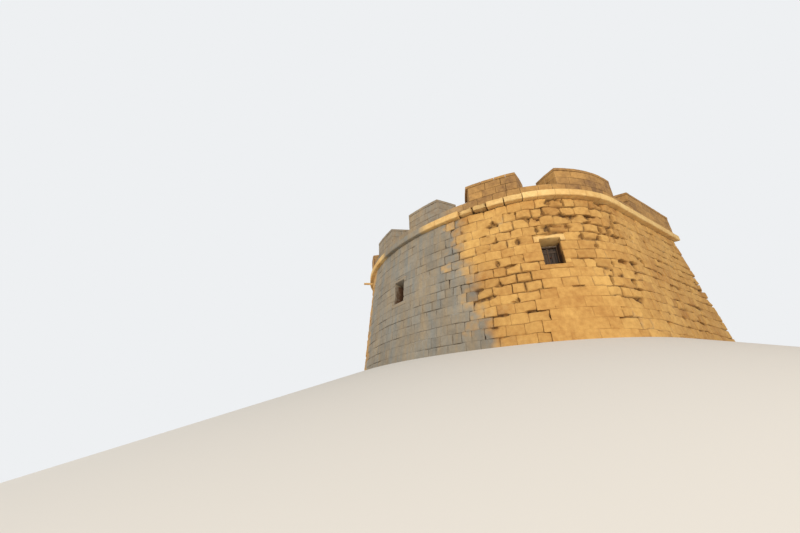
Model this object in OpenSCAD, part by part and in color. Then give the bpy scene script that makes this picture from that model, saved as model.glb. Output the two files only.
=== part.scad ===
// Coastal gun tower with a hoof-shaped plan: battered ashlar wall, cordon, and a parapet with gun embrasures.
// The nose points to -Y. Every outline is struck from the outer edge of the cordon, seen from above.
// A run of masonry is a cross-section drawn as [distance outside the cordon's edge, height].

/* [Plan] */
// Radius of the wide front arc, at the edge of the cordon
front_radius = 10400; // [9500:50:11500]
// Radius of the two tighter shoulder arcs, at the edge of the cordon
shoulder_radius = 5150; // [4600:50:5700]
// Angle from the nose to the end of the front arc, in degrees
front_half_angle = 31.3; // [28:0.1:34]
// Angle by which each flank opens towards the rear, in degrees
flank_splay = 2; // [0:0.5:6]
// Length of each straight flank, at the edge of the cordon
flank_length = 6400; // [5200:50:8000]
// Inside angle of the sharp rear corner between flank and heel, in degrees
heel_angle = 75; // [70:1:85]
// Half the width of the recessed gate wall between the heels
gate_half_width = 2600; // [2100:50:3200]

/* [Wall] */
// Height of the wall from its foot to the underside of the cordon
wall_height = 5870; // [5000:10:7200]
// Lean of the wall's outer face, in degrees
batter = 5.6; // [2:0.1:8]
// Thickness of the wall at its top
wall_thickness = 2200; // [1800:50:2400]
// Height of the chamber floor above the foot of the wall
floor_height = 1750; // [1300:10:2000]
// Thickness of the floor paving
floor_paving = 150; // [80:10:250]

/* [Cordon] */
// Height of the cordon course
cordon_height = 280; // [200:10:360]
// How far the cordon stands out from the wall under it
cordon_overhang = 190; // [100:10:260]
// Radius of the rounding along the cordon's lower edge
cordon_round = 110; // [40:5:150]

/* [Parapet] */
// Thickness of the parapet
parapet_thickness = 1000; // [700:10:1200]
// Distance of the parapet's outer face behind the cordon's edge
parapet_setback = 125; // [60:5:200]
// Height of the embrasure sills above the cordon
sill_height = 340; // [200:10:500]
// Height of the merlons above the embrasure sills
merlon_height = 820; // [600:10:1100]
// Width of a gun embrasure at its outer mouth
embrasure_width = 1560; // [1200:10:1800]
// Width of a gun embrasure at its inner throat
embrasure_throat = 540; // [400:10:900]
// Angle from the nose to the bow embrasures, in degrees
bow_embrasure_angle = 19.1; // [17:0.1:20]
// Angle of the shoulder embrasures round the shoulder arc, from its start, in degrees
shoulder_embrasure_turn = 16.2; // [14:0.1:24]
// Distance of the flank embrasures from the start of the straight flank
flank_embrasure_at = 1110; // [900:10:2000]
// Distance along each heel from the rear corner to its embrasure
heel_embrasure_at = 2980; // [2600:10:3300]

/* [Gun deck] */
// Thickness of the deck paving
deck_paving_thickness = 200; // [120:10:300]
// Distance from the deck paving's top up to the cordon's underside
deck_drop = 170; // [100:10:300]
// Rise of the vault under the gun deck
vault_rise = 1200; // [900:10:1300]
// Thickness of the vault at its crown
vault_crown = 350; // [250:10:500]
// Width of the level springer along the vault's front and back
vault_springer = 100; // [60:10:200]

/* [Windows] */
// Width of a window opening
window_width = 760; // [600:10:900]
// Height of a window opening
window_height = 950; // [800:10:1100]
// Height of the window sills above the foot of the wall
window_sill = 2870; // [2500:10:2900]
// Angle of the side windows round the shoulder arc, from its start, in degrees
window_turn = 15; // [13:0.5:30]
// Depth of the outer reveal in front of the shutters
window_reveal = 500; // [300:10:700]
// Extra width of the passage behind the reveal, on each side
window_check = 90; // [60:5:130]
// Height of the lintel stone
lintel_height = 270; // [200:10:320]
// Height of the sill stone
sill_stone_height = 190; // [120:10:250]
// Length of lintel and sill stones
window_stone_length = 1120; // [1000:10:1300]
// How far lintel and sill stones stand proud of the wall
window_stone_proud = 15; // [0:5:40]
// Thickness of the shutter's frame
window_frame_depth = 80; // [60:5:120]
// Width of the shutter frame's members
window_frame_width = 60; // [40:5:80]
// Thickness of the shutter boards
shutter_thickness = 35; // [25:5:50]

/* [Gate] */
// Clear width of the doorway
door_width = 1100; // [900:10:1400]
// Clear height of the doorway
door_height = 2000; // [1800:10:2100]
// Width of the surround's jambs and head
surround_width = 220; // [150:10:300]
// Depth of the surround behind the wall's face
surround_depth = 550; // [450:10:700]
// How far the surround stands proud of the wall
surround_proud = 40; // [0:5:80]
// Thickness of the plank door
door_thickness = 70; // [50:5:100]

/* [Fittings] */
// Side of the stone waterspout
spout_size = 110; // [80:5:160]
// How far the waterspout stands out from the wall
spout_reach = 560; // [300:10:800]
// Angle of the waterspout from the nose, in degrees, on the left side
spout_angle = 28; // [25:0.5:31]
// Diameter of the iron rod on the cordon
rod_diameter = 40; // [20:2:60]
// Height of the iron rod
rod_height = 520; // [300:10:900]
// Angle of the iron rod from the nose, in degrees, on the left side
rod_angle = 18.6; // [10:0.1:26]
// Distance from the rod's centre to the cordon's edge
rod_inset = 50; // [30:5:60]

/* [Hidden] */
$fn = 96;

// Colours of the weathered stone, timber and iron
stone_colour = "#c9a066";
dressed_colour = "#d8b47c";
rubble_colour = "#a98c62";
timber_colour = "#4a3626";
iron_colour = "#5a4a40";

// Levels
cordon_top = wall_height + cordon_height;
sill_top = cordon_top + sill_height;
merlon_top = sill_top + merlon_height;
deck_top = wall_height - deck_drop;
deck_under = deck_top - deck_paving_thickness;
vault_spring = deck_under - vault_crown - vault_rise;
window_top = window_sill + window_height;
door_top = floor_height + door_height;

// Distances outside the cordon's edge, negative towards the inside
foot_out = -cordon_overhang + wall_height * tan(batter);
inner_out = -cordon_overhang - wall_thickness;
parapet_outer = -parapet_setback;
parapet_inner = -parapet_setback - parapet_thickness;
function face_out(z) = -cordon_overhang + (wall_height - z) * tan(batter);

// Plan directions are angles from the nose (-Y), turning towards the right side (+X)
function outward(n) = [sin(n), -cos(n)];
function onward(n) = [cos(n), sin(n)];
shoulder_end = 90 - flank_splay;
heel_normal = shoulder_end + 180 - heel_angle;
gate_normal = 180;

// Corners of the right half of the plan, on the cordon's edge
shoulder_centre = (front_radius - shoulder_radius) * outward(front_half_angle);
flank_start = shoulder_centre + shoulder_radius * outward(shoulder_end);
rear_corner = flank_start + flank_length * onward(shoulder_end);
heel_length = (gate_half_width - rear_corner.x) / onward(heel_normal).x;
gate_corner = rear_corner + heel_length * onward(heel_normal);

// How a corner moves for each millimetre that both of its sides move outwards
function mitre(n1, n2) =
    outward(n1) + (1 - outward(n1) * outward(n2)) / (onward(n1) * outward(n2)) * onward(n1);
rear_mitre = mitre(shoulder_end, heel_normal);
gate_mitre = mitre(heel_normal, gate_normal);

// Reach of the cutting shapes beyond and inside the cordon's edge
cut_out = 1200;
cut_in = wall_thickness + cordon_overhang + 150;
over = 10;

// Cross-sections
module wall_section()
    polygon([[inner_out, 0], [foot_out, 0], [-cordon_overhang, wall_height], [parapet_inner, wall_height],
             [parapet_inner, deck_under], [inner_out, deck_under]]);

module band_section(low, high, inside, outside)
    translate([inside, low])
        square([outside - inside, high - low]);

module cordon_section(inside = parapet_inner, extra = 0)
    difference() {
        band_section(wall_height - extra, cordon_top + extra, inside, 0);
        difference() {
            translate([-cordon_round, wall_height - over])
                square([cordon_round + over, cordon_round + over]);
            translate([-cordon_round, wall_height + cordon_round])
                circle(cordon_round, $fn = 48);
        }
    }

module sill_wall_section(inside = parapet_inner, extra = 0)
    band_section(cordon_top - extra, sill_top + extra, inside, parapet_outer);

module merlon_section(inside = parapet_inner, extra = 0)
    band_section(sill_top - extra, merlon_top + extra, inside, parapet_outer);

// Runs of a cross-section along the plan's right half
module arc_run(centre, radius, from, to)
    translate(centre)
        rotate([0, 0, from - 90])
            rotate_extrude(angle = to - from, $fn = 360)
                translate([radius, 0])
                    children();

module front_run(from, to) arc_run([0, 0], front_radius, from, to) children();

// A band of the front arc, the same to each side of the nose
module front_band(half)
    both_sides() front_run(0, half) children();

module shoulder_run(from = front_half_angle, to = shoulder_end)
    arc_run(shoulder_centre, shoulder_radius, from, to) children();

// A run through the change from front arc to shoulder arc: degrees before it and degrees after it
module change_run(before, after)
    rotate([0, 0, front_half_angle - 90]) {
        mirror([0, 1, 0])
            rotate_extrude(angle = before, $fn = 360)
                translate([front_radius, 0])
                    children();
        translate([front_radius - shoulder_radius, 0, 0])
            rotate_extrude(angle = after, $fn = 360)
                translate([shoulder_radius, 0])
                    children();
    }

// A run through the end of the shoulder arc: degrees before it and distance along the flank
module shoulder_end_run(before, along)
    translate([flank_start.x, flank_start.y, 0])
        rotate([0, 0, shoulder_end - 90]) {
            translate([-shoulder_radius, 0, 0])
                mirror([0, 1, 0])
                    rotate_extrude(angle = before, $fn = 360)
                        translate([shoulder_radius, 0])
                            children();
            translate([0, along, 0])
                rotate([90, 0, 0])
                    linear_extrude(along)
                        children();
        }

module straight_run(start, n, from, to)
    translate([start.x, start.y, 0])
        rotate([0, 0, n - 90])
            translate([0, to, 0])
                rotate([90, 0, 0])
                    linear_extrude(to - from)
                        children();

module plan_clip(points)
    translate([0, 0, -over])
        linear_extrude(merlon_top + 2 * over)
            polygon(points);

module flank_run(from = 0)
    intersection() {
        straight_run(flank_start, shoulder_end, from, flank_length + cut_out) children();
        plan_clip([flank_start - cut_in * outward(shoulder_end) + from * onward(shoulder_end),
                   flank_start + cut_out * outward(shoulder_end) + from * onward(shoulder_end),
                   rear_corner + cut_out * rear_mitre, rear_corner - cut_in * rear_mitre]);
    }

module heel_run()
    intersection() {
        straight_run(rear_corner, heel_normal, -cut_out - cut_in, heel_length + cut_out) children();
        plan_clip([rear_corner - cut_in * rear_mitre, rear_corner + cut_out * rear_mitre,
                   gate_corner + cut_out * gate_mitre, gate_corner - cut_in * gate_mitre]);
    }

// Right half of the gate wall, from the heel to a distance from the middle
module gate_run(half_gap)
    intersection() {
        straight_run(gate_corner, gate_normal, -cut_out, gate_half_width - half_gap) children();
        plan_clip([gate_corner - cut_in * gate_mitre, gate_corner + cut_out * gate_mitre,
                   [half_gap, gate_corner.y + cut_out], [half_gap, gate_corner.y - cut_in]]);
    }

module both_sides() {
    children();
    mirror([1, 0, 0]) children();
}

module on_left()
    mirror([1, 0, 0]) children();

// A place on the wall that looks outwards along +X, with the cordon's edge at x = 0
module at_front(n)
    rotate([0, 0, n - 90])
        translate([front_radius, 0, 0])
            children();

module at_shoulder(n)
    translate([shoulder_centre.x, shoulder_centre.y, 0])
        rotate([0, 0, n - 90])
            translate([shoulder_radius, 0, 0])
                children();

module at_straight(start, n, distance)
    translate([start.x + distance * onward(n).x, start.y + distance * onward(n).y, 0])
        rotate([0, 0, n - 90])
            children();

// The hoof-shaped plan at a distance outside the cordon's edge: a cap, two shoulders and a body that overlap
module hoof_plan(out) {
    reach = 2 * front_radius;
    lap = 400;
    lap_angle = 4;
    shoulder_middle = (front_half_angle + shoulder_end) / 2;
    shoulder_apex = shoulder_centre - lap * outward(shoulder_middle);
    intersection() {
        circle(front_radius + out, $fn = 360);
        polygon([shoulder_centre + [0, lap], shoulder_centre,
                 reach * outward(front_half_angle), reach * outward(0), reach * outward(-front_half_angle),
                 [-shoulder_centre.x, shoulder_centre.y], [-shoulder_centre.x, shoulder_centre.y + lap]]);
    }
    both_sides()
        intersection() {
            translate(shoulder_centre)
                circle(shoulder_radius + out, $fn = 360);
            polygon([shoulder_apex,
                     shoulder_apex + reach * outward(front_half_angle - lap_angle),
                     shoulder_apex + reach * outward(shoulder_middle),
                     shoulder_apex + reach * outward(shoulder_end + lap_angle)]);
        }
    right_side = [shoulder_centre, flank_start + out * outward(shoulder_end), rear_corner + out * rear_mitre,
                  gate_corner + out * gate_mitre];
    polygon([for (p = right_side) p, for (i = [3 : -1 : 0]) [-right_side[i].x, right_side[i].y]]);
}

// Gun embrasures
module embrasure()
    translate([0, 0, sill_top - over])
        linear_extrude(merlon_height + 2 * over)
            polygon([[parapet_outer + cut_out, -mouth_half(cut_out)],
                     [parapet_outer + cut_out, mouth_half(cut_out)],
                     [parapet_inner - over, mouth_half(-parapet_thickness - over)],
                     [parapet_inner - over, -mouth_half(-parapet_thickness - over)]]);

// Half the embrasure's width at a distance outside the parapet's outer face
function mouth_half(x) =
    embrasure_width / 2 + x * (embrasure_width - embrasure_throat) / 2 / parapet_thickness;

shoulder_embrasure_angle = front_half_angle + shoulder_embrasure_turn;

module nose_embrasure() at_front(0) embrasure();
module bow_embrasure() at_front(bow_embrasure_angle) embrasure();
module shoulder_embrasure() at_shoulder(shoulder_embrasure_angle) embrasure();
module flank_embrasure() at_straight(flank_start, shoulder_end, flank_embrasure_at) embrasure();
module heel_embrasure() at_straight(rear_corner, heel_normal, heel_embrasure_at) embrasure();

// Windows, in the frame of at_front and at_shoulder
module slot(x0, x1, width, z0, z1)
    translate([x0, -width / 2, z0])
        cube([x1 - x0, width, z1 - z0]);

reveal_back = face_out(window_top) - window_reveal;
passage_width = window_width + 2 * window_check;

module window_cut() {
    slot(reveal_back - over, cut_out, window_width, window_sill, window_top);
    slot(inner_out - cut_out, reveal_back, passage_width,
         window_sill - window_check, window_top + window_check);
    window_stone_blocks();
}

module proud_section()
    polygon([[reveal_back, 0], [foot_out + window_stone_proud, 0],
             [-cordon_overhang + window_stone_proud, wall_height], [reveal_back, wall_height]]);

module window_stone_blocks() {
    slot(reveal_back, cut_out, window_stone_length, window_top, window_top + lintel_height);
    slot(reveal_back, cut_out, window_stone_length, window_sill - sill_stone_height, window_sill);
}

module window_frame()
    difference() {
        slot(reveal_back - window_frame_depth, reveal_back, passage_width,
             window_sill - window_check, window_top + window_check);
        slot(reveal_back - window_frame_depth - over, reveal_back + over,
             window_width - 2 * window_frame_width,
             window_sill + window_frame_width, window_top - window_frame_width);
    }

module window_shutter()
    slot(reveal_back - window_frame_depth - shutter_thickness, reveal_back - window_frame_depth,
         passage_width, window_sill - window_check, window_top + window_check);

window_angle = front_half_angle + window_turn;

module at_each_window() {
    at_front(0) children();
    both_sides() at_shoulder(window_angle) children();
}

// Angle from the nose at which the nose wall meets the bow walls
nose_half_angle = front_half_angle / 3;

module wall_nose()
    color(stone_colour)
        difference() {
            front_band(nose_half_angle) wall_section();
            at_front(0) window_cut();
        }

module wall_bow_right()
    color(stone_colour)
        front_run(nose_half_angle, front_half_angle) wall_section();

module wall_bow_left()
    color(stone_colour)
        difference() {
            on_left() front_run(nose_half_angle, front_half_angle) wall_section();
            on_left() at_front(spout_angle) spout_body();
        }

module wall_shoulder_right()
    color(stone_colour)
        difference() {
            shoulder_run() wall_section();
            at_shoulder(window_angle) window_cut();
        }

module wall_shoulder_left() on_left() wall_shoulder_right();

module wall_flank_right()
    color(stone_colour)
        flank_run() wall_section();

module wall_flank_left() on_left() wall_flank_right();

module wall_heel_right()
    color(stone_colour)
        heel_run() wall_section();

module wall_heel_left() on_left() wall_heel_right();

// Gate
gate_gap = door_width + 2 * surround_width;
surround_back = face_out(door_top) - surround_depth;
surround_top = door_top + surround_width;

module gate_pier_right()
    color(stone_colour)
        gate_run(gate_gap / 2) wall_section();

module gate_pier_left() on_left() gate_pier_right();

module gate_middle(low, high)
    intersection() {
        straight_run(gate_corner, gate_normal, gate_half_width - gate_gap / 2, gate_half_width + gate_gap / 2)
            wall_section();
        translate([-gate_half_width, gate_corner.y - cut_in, low])
            cube([2 * gate_half_width, cut_in + cut_out, high - low]);
    }

module gate_sill_wall()
    color(stone_colour)
        gate_middle(-over, floor_height);

module gate_head_wall()
    color(stone_colour)
        gate_middle(surround_top, wall_height + over);

module gate_surround()
    color(dressed_colour)
        difference() {
            intersection() {
                straight_run(gate_corner, gate_normal, gate_half_width - gate_gap / 2,
                             gate_half_width + gate_gap / 2)
                    polygon([[surround_back, 0], [foot_out + surround_proud, 0],
                             [-cordon_overhang + surround_proud, wall_height], [surround_back, wall_height]]);
                translate([-gate_half_width, gate_corner.y - cut_in, floor_height])
                    cube([2 * gate_half_width, cut_in + cut_out, surround_top - floor_height]);
            }
            translate([-door_width / 2, gate_corner.y - cut_in, floor_height - over])
                cube([door_width, cut_in + cut_out, door_height + over]);
        }

module gate_door()
    color(timber_colour)
        translate([-gate_gap / 2, gate_corner.y + surround_back - door_thickness, floor_height])
            cube([gate_gap, door_thickness, surround_top - floor_height]);

// Cordon
module cordon_front()
    color(dressed_colour)
        front_band(front_half_angle) cordon_section();

module cordon_shoulder_right()
    color(dressed_colour)
        shoulder_run() cordon_section();

module cordon_shoulder_left() on_left() cordon_shoulder_right();

module cordon_flank_right()
    color(dressed_colour)
        flank_run() cordon_section();

module cordon_flank_left() on_left() cordon_flank_right();

// Both heels and the gate wall in one: their sections are drawn too deep and too tall, and are cut back together
rear_inside = parapet_inner - 400;
rear_extra = over / 2;
rear_lap = 1000;

module rear_run(low, high) {
    right_side = [rear_corner + cut_out * rear_mitre, rear_corner + parapet_inner * rear_mitre,
                  gate_corner + parapet_inner * gate_mitre];
    intersection() {
        union() {
            both_sides()
                straight_run(rear_corner, heel_normal, -cut_out - cut_in, heel_length + rear_lap) children();
            straight_run(gate_corner, gate_normal, -rear_lap, 2 * gate_half_width + rear_lap) children();
        }
        translate([0, 0, low])
            linear_extrude(high - low)
                polygon([for (p = right_side) p, for (i = [2 : -1 : 0]) [-right_side[i].x, right_side[i].y]]);
    }
}

module cordon_rear()
    color(dressed_colour)
        rear_run(wall_height, cordon_top) cordon_section(rear_inside, rear_extra);

// Parapet sill wall
module parapet_front()
    color(stone_colour)
        front_band(front_half_angle) sill_wall_section();

module parapet_shoulder_right()
    color(stone_colour)
        shoulder_run() sill_wall_section();

module parapet_shoulder_left() on_left() parapet_shoulder_right();

module parapet_flank_right()
    color(stone_colour)
        flank_run() sill_wall_section();

module parapet_flank_left() on_left() parapet_flank_right();

module parapet_rear()
    color(stone_colour)
        rear_run(cordon_top, sill_top) sill_wall_section(rear_inside, rear_extra);

// Merlons: runs of the parapet above the sills, between the middles of two embrasures
module merlon_nose_right()
    color(stone_colour)
        difference() {
            front_run(0, bow_embrasure_angle) merlon_section();
            nose_embrasure();
            bow_embrasure();
        }

module merlon_nose_left() on_left() merlon_nose_right();

module merlon_bow_right()
    color(stone_colour)
        difference() {
            change_run(front_half_angle - bow_embrasure_angle, shoulder_embrasure_angle - front_half_angle)
                merlon_section();
            bow_embrasure();
            shoulder_embrasure();
        }

module merlon_bow_left() on_left() merlon_bow_right();

module merlon_shoulder_right()
    color(stone_colour)
        difference() {
            shoulder_end_run(shoulder_end - shoulder_embrasure_angle, flank_embrasure_at) merlon_section();
            shoulder_embrasure();
            flank_embrasure();
        }

module merlon_shoulder_left() on_left() merlon_shoulder_right();

module merlon_flank_right()
    color(stone_colour)
        difference() {
            flank_run(flank_embrasure_at) merlon_section();
            flank_embrasure();
        }

module merlon_flank_left() on_left() merlon_flank_right();

module rear_merlons()
    color(stone_colour)
        difference() {
            rear_run(sill_top, merlon_top) merlon_section(rear_inside, rear_extra);
            both_sides() heel_embrasure();
        }

// Inside and deck
module level_slab(low, high, out)
    translate([0, 0, low])
        linear_extrude(high - low)
            hoof_plan(out);

module rubble_core()
    color(rubble_colour)
        level_slab(0, floor_height - floor_paving, inner_out);

module chamber_floor()
    color(dressed_colour)
        level_slab(floor_height - floor_paving, floor_height, inner_out);

// The vault spans from the nose wall to the gate wall
vault_front = -(front_radius + inner_out);
vault_back = gate_corner.y + inner_out;
vault_half_span = (vault_back - vault_front) / 2 - vault_springer;
vault_radius = (pow(vault_half_span, 2) + pow(vault_rise, 2)) / 2 / vault_rise;

module deck_vault()
    color(stone_colour)
        difference() {
            level_slab(vault_spring, deck_under, inner_out);
            translate([0, (vault_front + vault_back) / 2, vault_spring + vault_rise - vault_radius])
                rotate([0, 90, 0])
                    cylinder(h = 3 * front_radius, r = vault_radius, center = true, $fn = 360);
        }

module deck_paving()
    color(dressed_colour)
        level_slab(deck_under, deck_top, parapet_inner);

// Window fittings
module window_stones()
    color(dressed_colour) {
        intersection() {
            front_band(nose_half_angle) proud_section();
            at_front(0) window_stone_blocks();
        }
        both_sides()
            intersection() {
                shoulder_run() proud_section();
                at_shoulder(window_angle) window_stone_blocks();
            }
    }

module window_frames()
    color(timber_colour)
        at_each_window() window_frame();

module window_shutters()
    color(timber_colour)
        at_each_window() window_shutter();

// Waterspout: a stone channel that drains the gun deck
spout_groove = spout_size / 2;

module spout_body()
    slot(parapet_inner, face_out(deck_top) + spout_reach, spout_size,
         deck_top - spout_groove, deck_top + spout_size / 2);

module waterspout()
    color(dressed_colour)
        on_left()
            at_front(spout_angle)
                difference() {
                    spout_body();
                    slot(parapet_inner - over, cut_out, spout_groove, deck_top, deck_top + spout_size);
                }

module iron_rod()
    color(iron_colour)
        on_left()
            at_front(rod_angle)
                translate([-rod_inset, 0, cordon_top])
                    cylinder(h = rod_height, d = rod_diameter, $fn = 24);

wall_nose();
wall_bow_left();
wall_bow_right();
wall_shoulder_left();
wall_shoulder_right();
wall_flank_left();
wall_flank_right();
wall_heel_left();
wall_heel_right();
gate_pier_left();
gate_pier_right();
gate_sill_wall();
gate_head_wall();
cordon_front();
cordon_shoulder_left();
cordon_shoulder_right();
cordon_flank_left();
cordon_flank_right();
cordon_rear();
parapet_front();
parapet_shoulder_left();
parapet_shoulder_right();
parapet_flank_left();
parapet_flank_right();
parapet_rear();
merlon_nose_left();
merlon_nose_right();
merlon_bow_left();
merlon_bow_right();
merlon_shoulder_left();
merlon_shoulder_right();
merlon_flank_left();
merlon_flank_right();
rear_merlons();
rubble_core();
chamber_floor();
deck_vault();
deck_paving();
window_stones();
window_frames();
window_shutters();
gate_surround();
gate_door();
waterspout();
iron_rod();
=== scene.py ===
"""Coastal gun tower with a hoof-shaped plan: worn stones, timber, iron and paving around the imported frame."""
import itertools
import math

import bmesh
import bpy
import numpy as np
from bpy.props import FloatProperty, FloatVectorProperty, IntProperty, PointerProperty
from bpy.types import Operator, Panel, PropertyGroup
from mathutils import Color, Matrix, Vector


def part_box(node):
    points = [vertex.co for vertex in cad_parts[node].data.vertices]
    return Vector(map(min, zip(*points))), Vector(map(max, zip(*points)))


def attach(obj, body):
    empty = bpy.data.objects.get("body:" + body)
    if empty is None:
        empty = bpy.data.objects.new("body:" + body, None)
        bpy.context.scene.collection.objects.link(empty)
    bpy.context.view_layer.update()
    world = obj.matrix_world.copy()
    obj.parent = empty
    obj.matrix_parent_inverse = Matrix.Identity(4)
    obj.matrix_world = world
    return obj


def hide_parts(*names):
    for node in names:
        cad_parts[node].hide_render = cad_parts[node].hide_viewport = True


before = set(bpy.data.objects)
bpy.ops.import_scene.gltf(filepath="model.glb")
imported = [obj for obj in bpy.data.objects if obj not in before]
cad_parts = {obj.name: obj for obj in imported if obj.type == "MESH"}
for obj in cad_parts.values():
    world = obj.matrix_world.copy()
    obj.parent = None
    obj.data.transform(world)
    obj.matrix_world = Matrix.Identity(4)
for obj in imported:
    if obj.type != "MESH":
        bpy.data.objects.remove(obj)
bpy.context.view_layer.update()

bl_info = {
    "name": "Hoof-plan gun tower",
    "version": (1, 0, 0),
    "blender": (4, 5, 0),
    "location": "View3D > Sidebar > Tower",
    "description": "Worn ashlar, cordon, parapet, shutters, door, paving and ironwork of a coastal gun tower",
    "category": "Object",
}

SEED = 1801

# Plan, struck from the outer edge of the cordon, with the nose at -Y
FRONT_RADIUS = -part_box("cordon_front")[0][1]
SHOULDER_RADIUS = 5.15
HALF_ANGLE = math.radians(31.3)
FLANK_NORMAL = math.radians(88)
FLANK_LENGTH = 6.4
HEEL_NORMAL = math.radians(193)
GATE_HALF = 2.6

# Heights
WALL_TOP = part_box("wall_nose")[1][2]
CORDON_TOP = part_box("cordon_front")[1][2]
SILL_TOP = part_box("parapet_front")[1][2]
MERLON_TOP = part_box("merlon_nose_right")[1][2]
DECK_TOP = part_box("deck_paving")[1][2]

# Section: distances outside the cordon's edge
BATTER = math.radians(5.6)
CORDON_OVER = 0.19
CORDON_ROUND = 0.05
PARAPET_OUT = -0.125
PARAPET_IN = -1.125

# Openings
WINDOW_HALF = 0.38
WINDOW_SILL = 2.87
WINDOW_HEAD = 3.82
WINDOW_STONE_HALF = 0.56
LINTEL_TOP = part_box("window_stones")[1][2]
SILL_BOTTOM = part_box("window_stones")[0][2]
WINDOW_TURN = math.radians(46.3)
REVEAL_BACK = -0.489
DOOR_HALF = 0.55
SURROUND_HALF = 0.77
DOOR_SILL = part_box("gate_surround")[0][2]
DOOR_HEAD = 3.75
SURROUND_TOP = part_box("gate_surround")[1][2]
MOUTH_HALF = 0.78
CHEEK_SPLAY = 0.51


def outward(turn):
    """Plan direction that faces away from the tower, turn round from the nose."""
    return np.array([math.sin(turn), -math.cos(turn)])


def onward(turn):
    """Plan direction along a wall whose face looks outward(turn)."""
    return np.array([math.cos(turn), math.sin(turn)])


SHOULDER_CENTRE = (FRONT_RADIUS - SHOULDER_RADIUS) * outward(HALF_ANGLE)
FLANK_START = SHOULDER_CENTRE + SHOULDER_RADIUS * outward(FLANK_NORMAL)
REAR_CORNER = FLANK_START + FLANK_LENGTH * onward(FLANK_NORMAL)
HEEL_LENGTH = (GATE_HALF - REAR_CORNER[0]) / math.cos(HEEL_NORMAL)
GATE_START = REAR_CORNER + HEEL_LENGTH * onward(HEEL_NORMAL)

# Distances along the cordon's edge from the nose at which each run ends
FRONT_END = FRONT_RADIUS * HALF_ANGLE
SHOULDER_END = FRONT_END + SHOULDER_RADIUS * (FLANK_NORMAL - HALF_ANGLE)
FLANK_END = SHOULDER_END + FLANK_LENGTH
HEEL_END = FLANK_END + HEEL_LENGTH
GATE_END = HEEL_END + 2 * GATE_HALF
ROUND = HEEL_END + GATE_END

# How far a mitre moves along a wall for each metre outwards, and the length of wall that takes it up
REAR_MITRE = math.tan((HEEL_NORMAL - FLANK_NORMAL) / 2)
GATE_MITRE = math.tan((math.pi - HEEL_NORMAL) / 2)
REAR_REACH = 2.0
GATE_REACH = 0.6


def ring(s, out):
    """Plan point s metres round the cordon's edge from the nose (left is negative) and out metres outside."""
    s, out = np.broadcast_arrays(np.asarray(s, float), np.asarray(out, float))
    s = (s + HEEL_END) % ROUND - HEEL_END
    t, side = np.abs(s), np.where(s < 0, -1.0, 1.0)

    def arc(centre, radius, turn):
        return centre[0] + (radius + out) * np.sin(turn), centre[1] - (radius + out) * np.cos(turn)

    def wall(start, turn, along):
        (ox, oy), (lx, ly) = outward(turn), onward(turn)
        return start[0] + along * lx + out * ox, start[1] + along * ly + out * oy

    def pull(gap, reach):
        return out * np.clip(1 - gap / reach, 0, 1)

    turn = HALF_ANGLE + (t - FRONT_END) / SHOULDER_RADIUS
    flank = t - SHOULDER_END + REAR_MITRE * pull(FLANK_END - t, REAR_REACH)
    heel = t - FLANK_END - REAR_MITRE * pull(t - FLANK_END, REAR_REACH)
    heel = heel + GATE_MITRE * pull(HEEL_END - t, GATE_REACH)
    gate = t - HEEL_END - GATE_MITRE * pull(t - HEEL_END, GATE_REACH)
    gate = gate + GATE_MITRE * pull(GATE_END - t, GATE_REACH)
    runs = [
        (t <= FRONT_END, arc((0, 0), FRONT_RADIUS, t / FRONT_RADIUS)),
        (t <= SHOULDER_END, arc(SHOULDER_CENTRE, SHOULDER_RADIUS, turn)),
        (t <= FLANK_END, wall(FLANK_START, FLANK_NORMAL, flank)),
        (t <= HEEL_END, wall(REAR_CORNER, HEEL_NORMAL, heel)),
        (t <= GATE_END, wall(GATE_START, math.pi, gate)),
    ]
    here = [test for test, _ in runs]
    x = np.select(here, [place[0] for _, place in runs])
    y = np.select(here, [place[1] for _, place in runs])
    return x * side, y


def bend(s, out, z):
    """Points of the wall laid out flat, bent round the plan."""
    x, y = ring(s, out)
    return np.stack(np.broadcast_arrays(x, y, z), axis=-1)


def face_out(z):
    """How far the battered outer face stands outside the cordon's edge at height z."""
    return -CORDON_OVER + (WALL_TOP - z) * math.tan(BATTER)


def radius_at(s):
    """Plan radius of the cordon's edge at s, or a very large one on a straight wall."""
    t = abs(s)
    return FRONT_RADIUS if t <= FRONT_END else SHOULDER_RADIUS if t <= SHOULDER_END else 1e6


def grain(points, size, seed):
    """Smooth noise from 0 to 1 at the points, in lumps about size metres across."""
    scaled = np.asarray(points) / size
    cell = np.floor(scaled).astype(np.int64)
    part = scaled - cell
    part = part * part * (3 - 2 * part)
    total = np.zeros(scaled.shape[:-1])
    for corner in itertools.product((0, 1), repeat=3):
        near = (cell + np.array(corner)).astype(np.uint64)
        mixed = near[..., 0] * np.uint64(374761393) + near[..., 1] * np.uint64(668265263)
        mixed += near[..., 2] * np.uint64(2246822519) + np.uint64(seed * 3266489917)
        mixed = (mixed ^ (mixed >> np.uint64(13))) * np.uint64(1274126177)
        value = ((mixed ^ (mixed >> np.uint64(16))) & np.uint64(0xFFFFFF)) / 0xFFFFFF
        total += value * np.prod(np.where(corner, part, 1 - part), axis=-1)
    return total


def lines(low, high, near, middle):
    """Grid lines between each low and high: at the distances in near from both ends, and even between."""
    low, high = np.asarray(low, float)[:, None], np.asarray(high, float)[:, None]
    near = np.asarray(near) * np.minimum(1, 0.3 * (high - low) / near[-1])
    start, end = low + near, (high - near)[:, ::-1]
    share = np.linspace(0, 1, middle + 2)[1:-1]
    return np.concatenate([start, start[:, -1:] + (end[:, :1] - start[:, -1:]) * share, end], axis=1)


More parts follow.
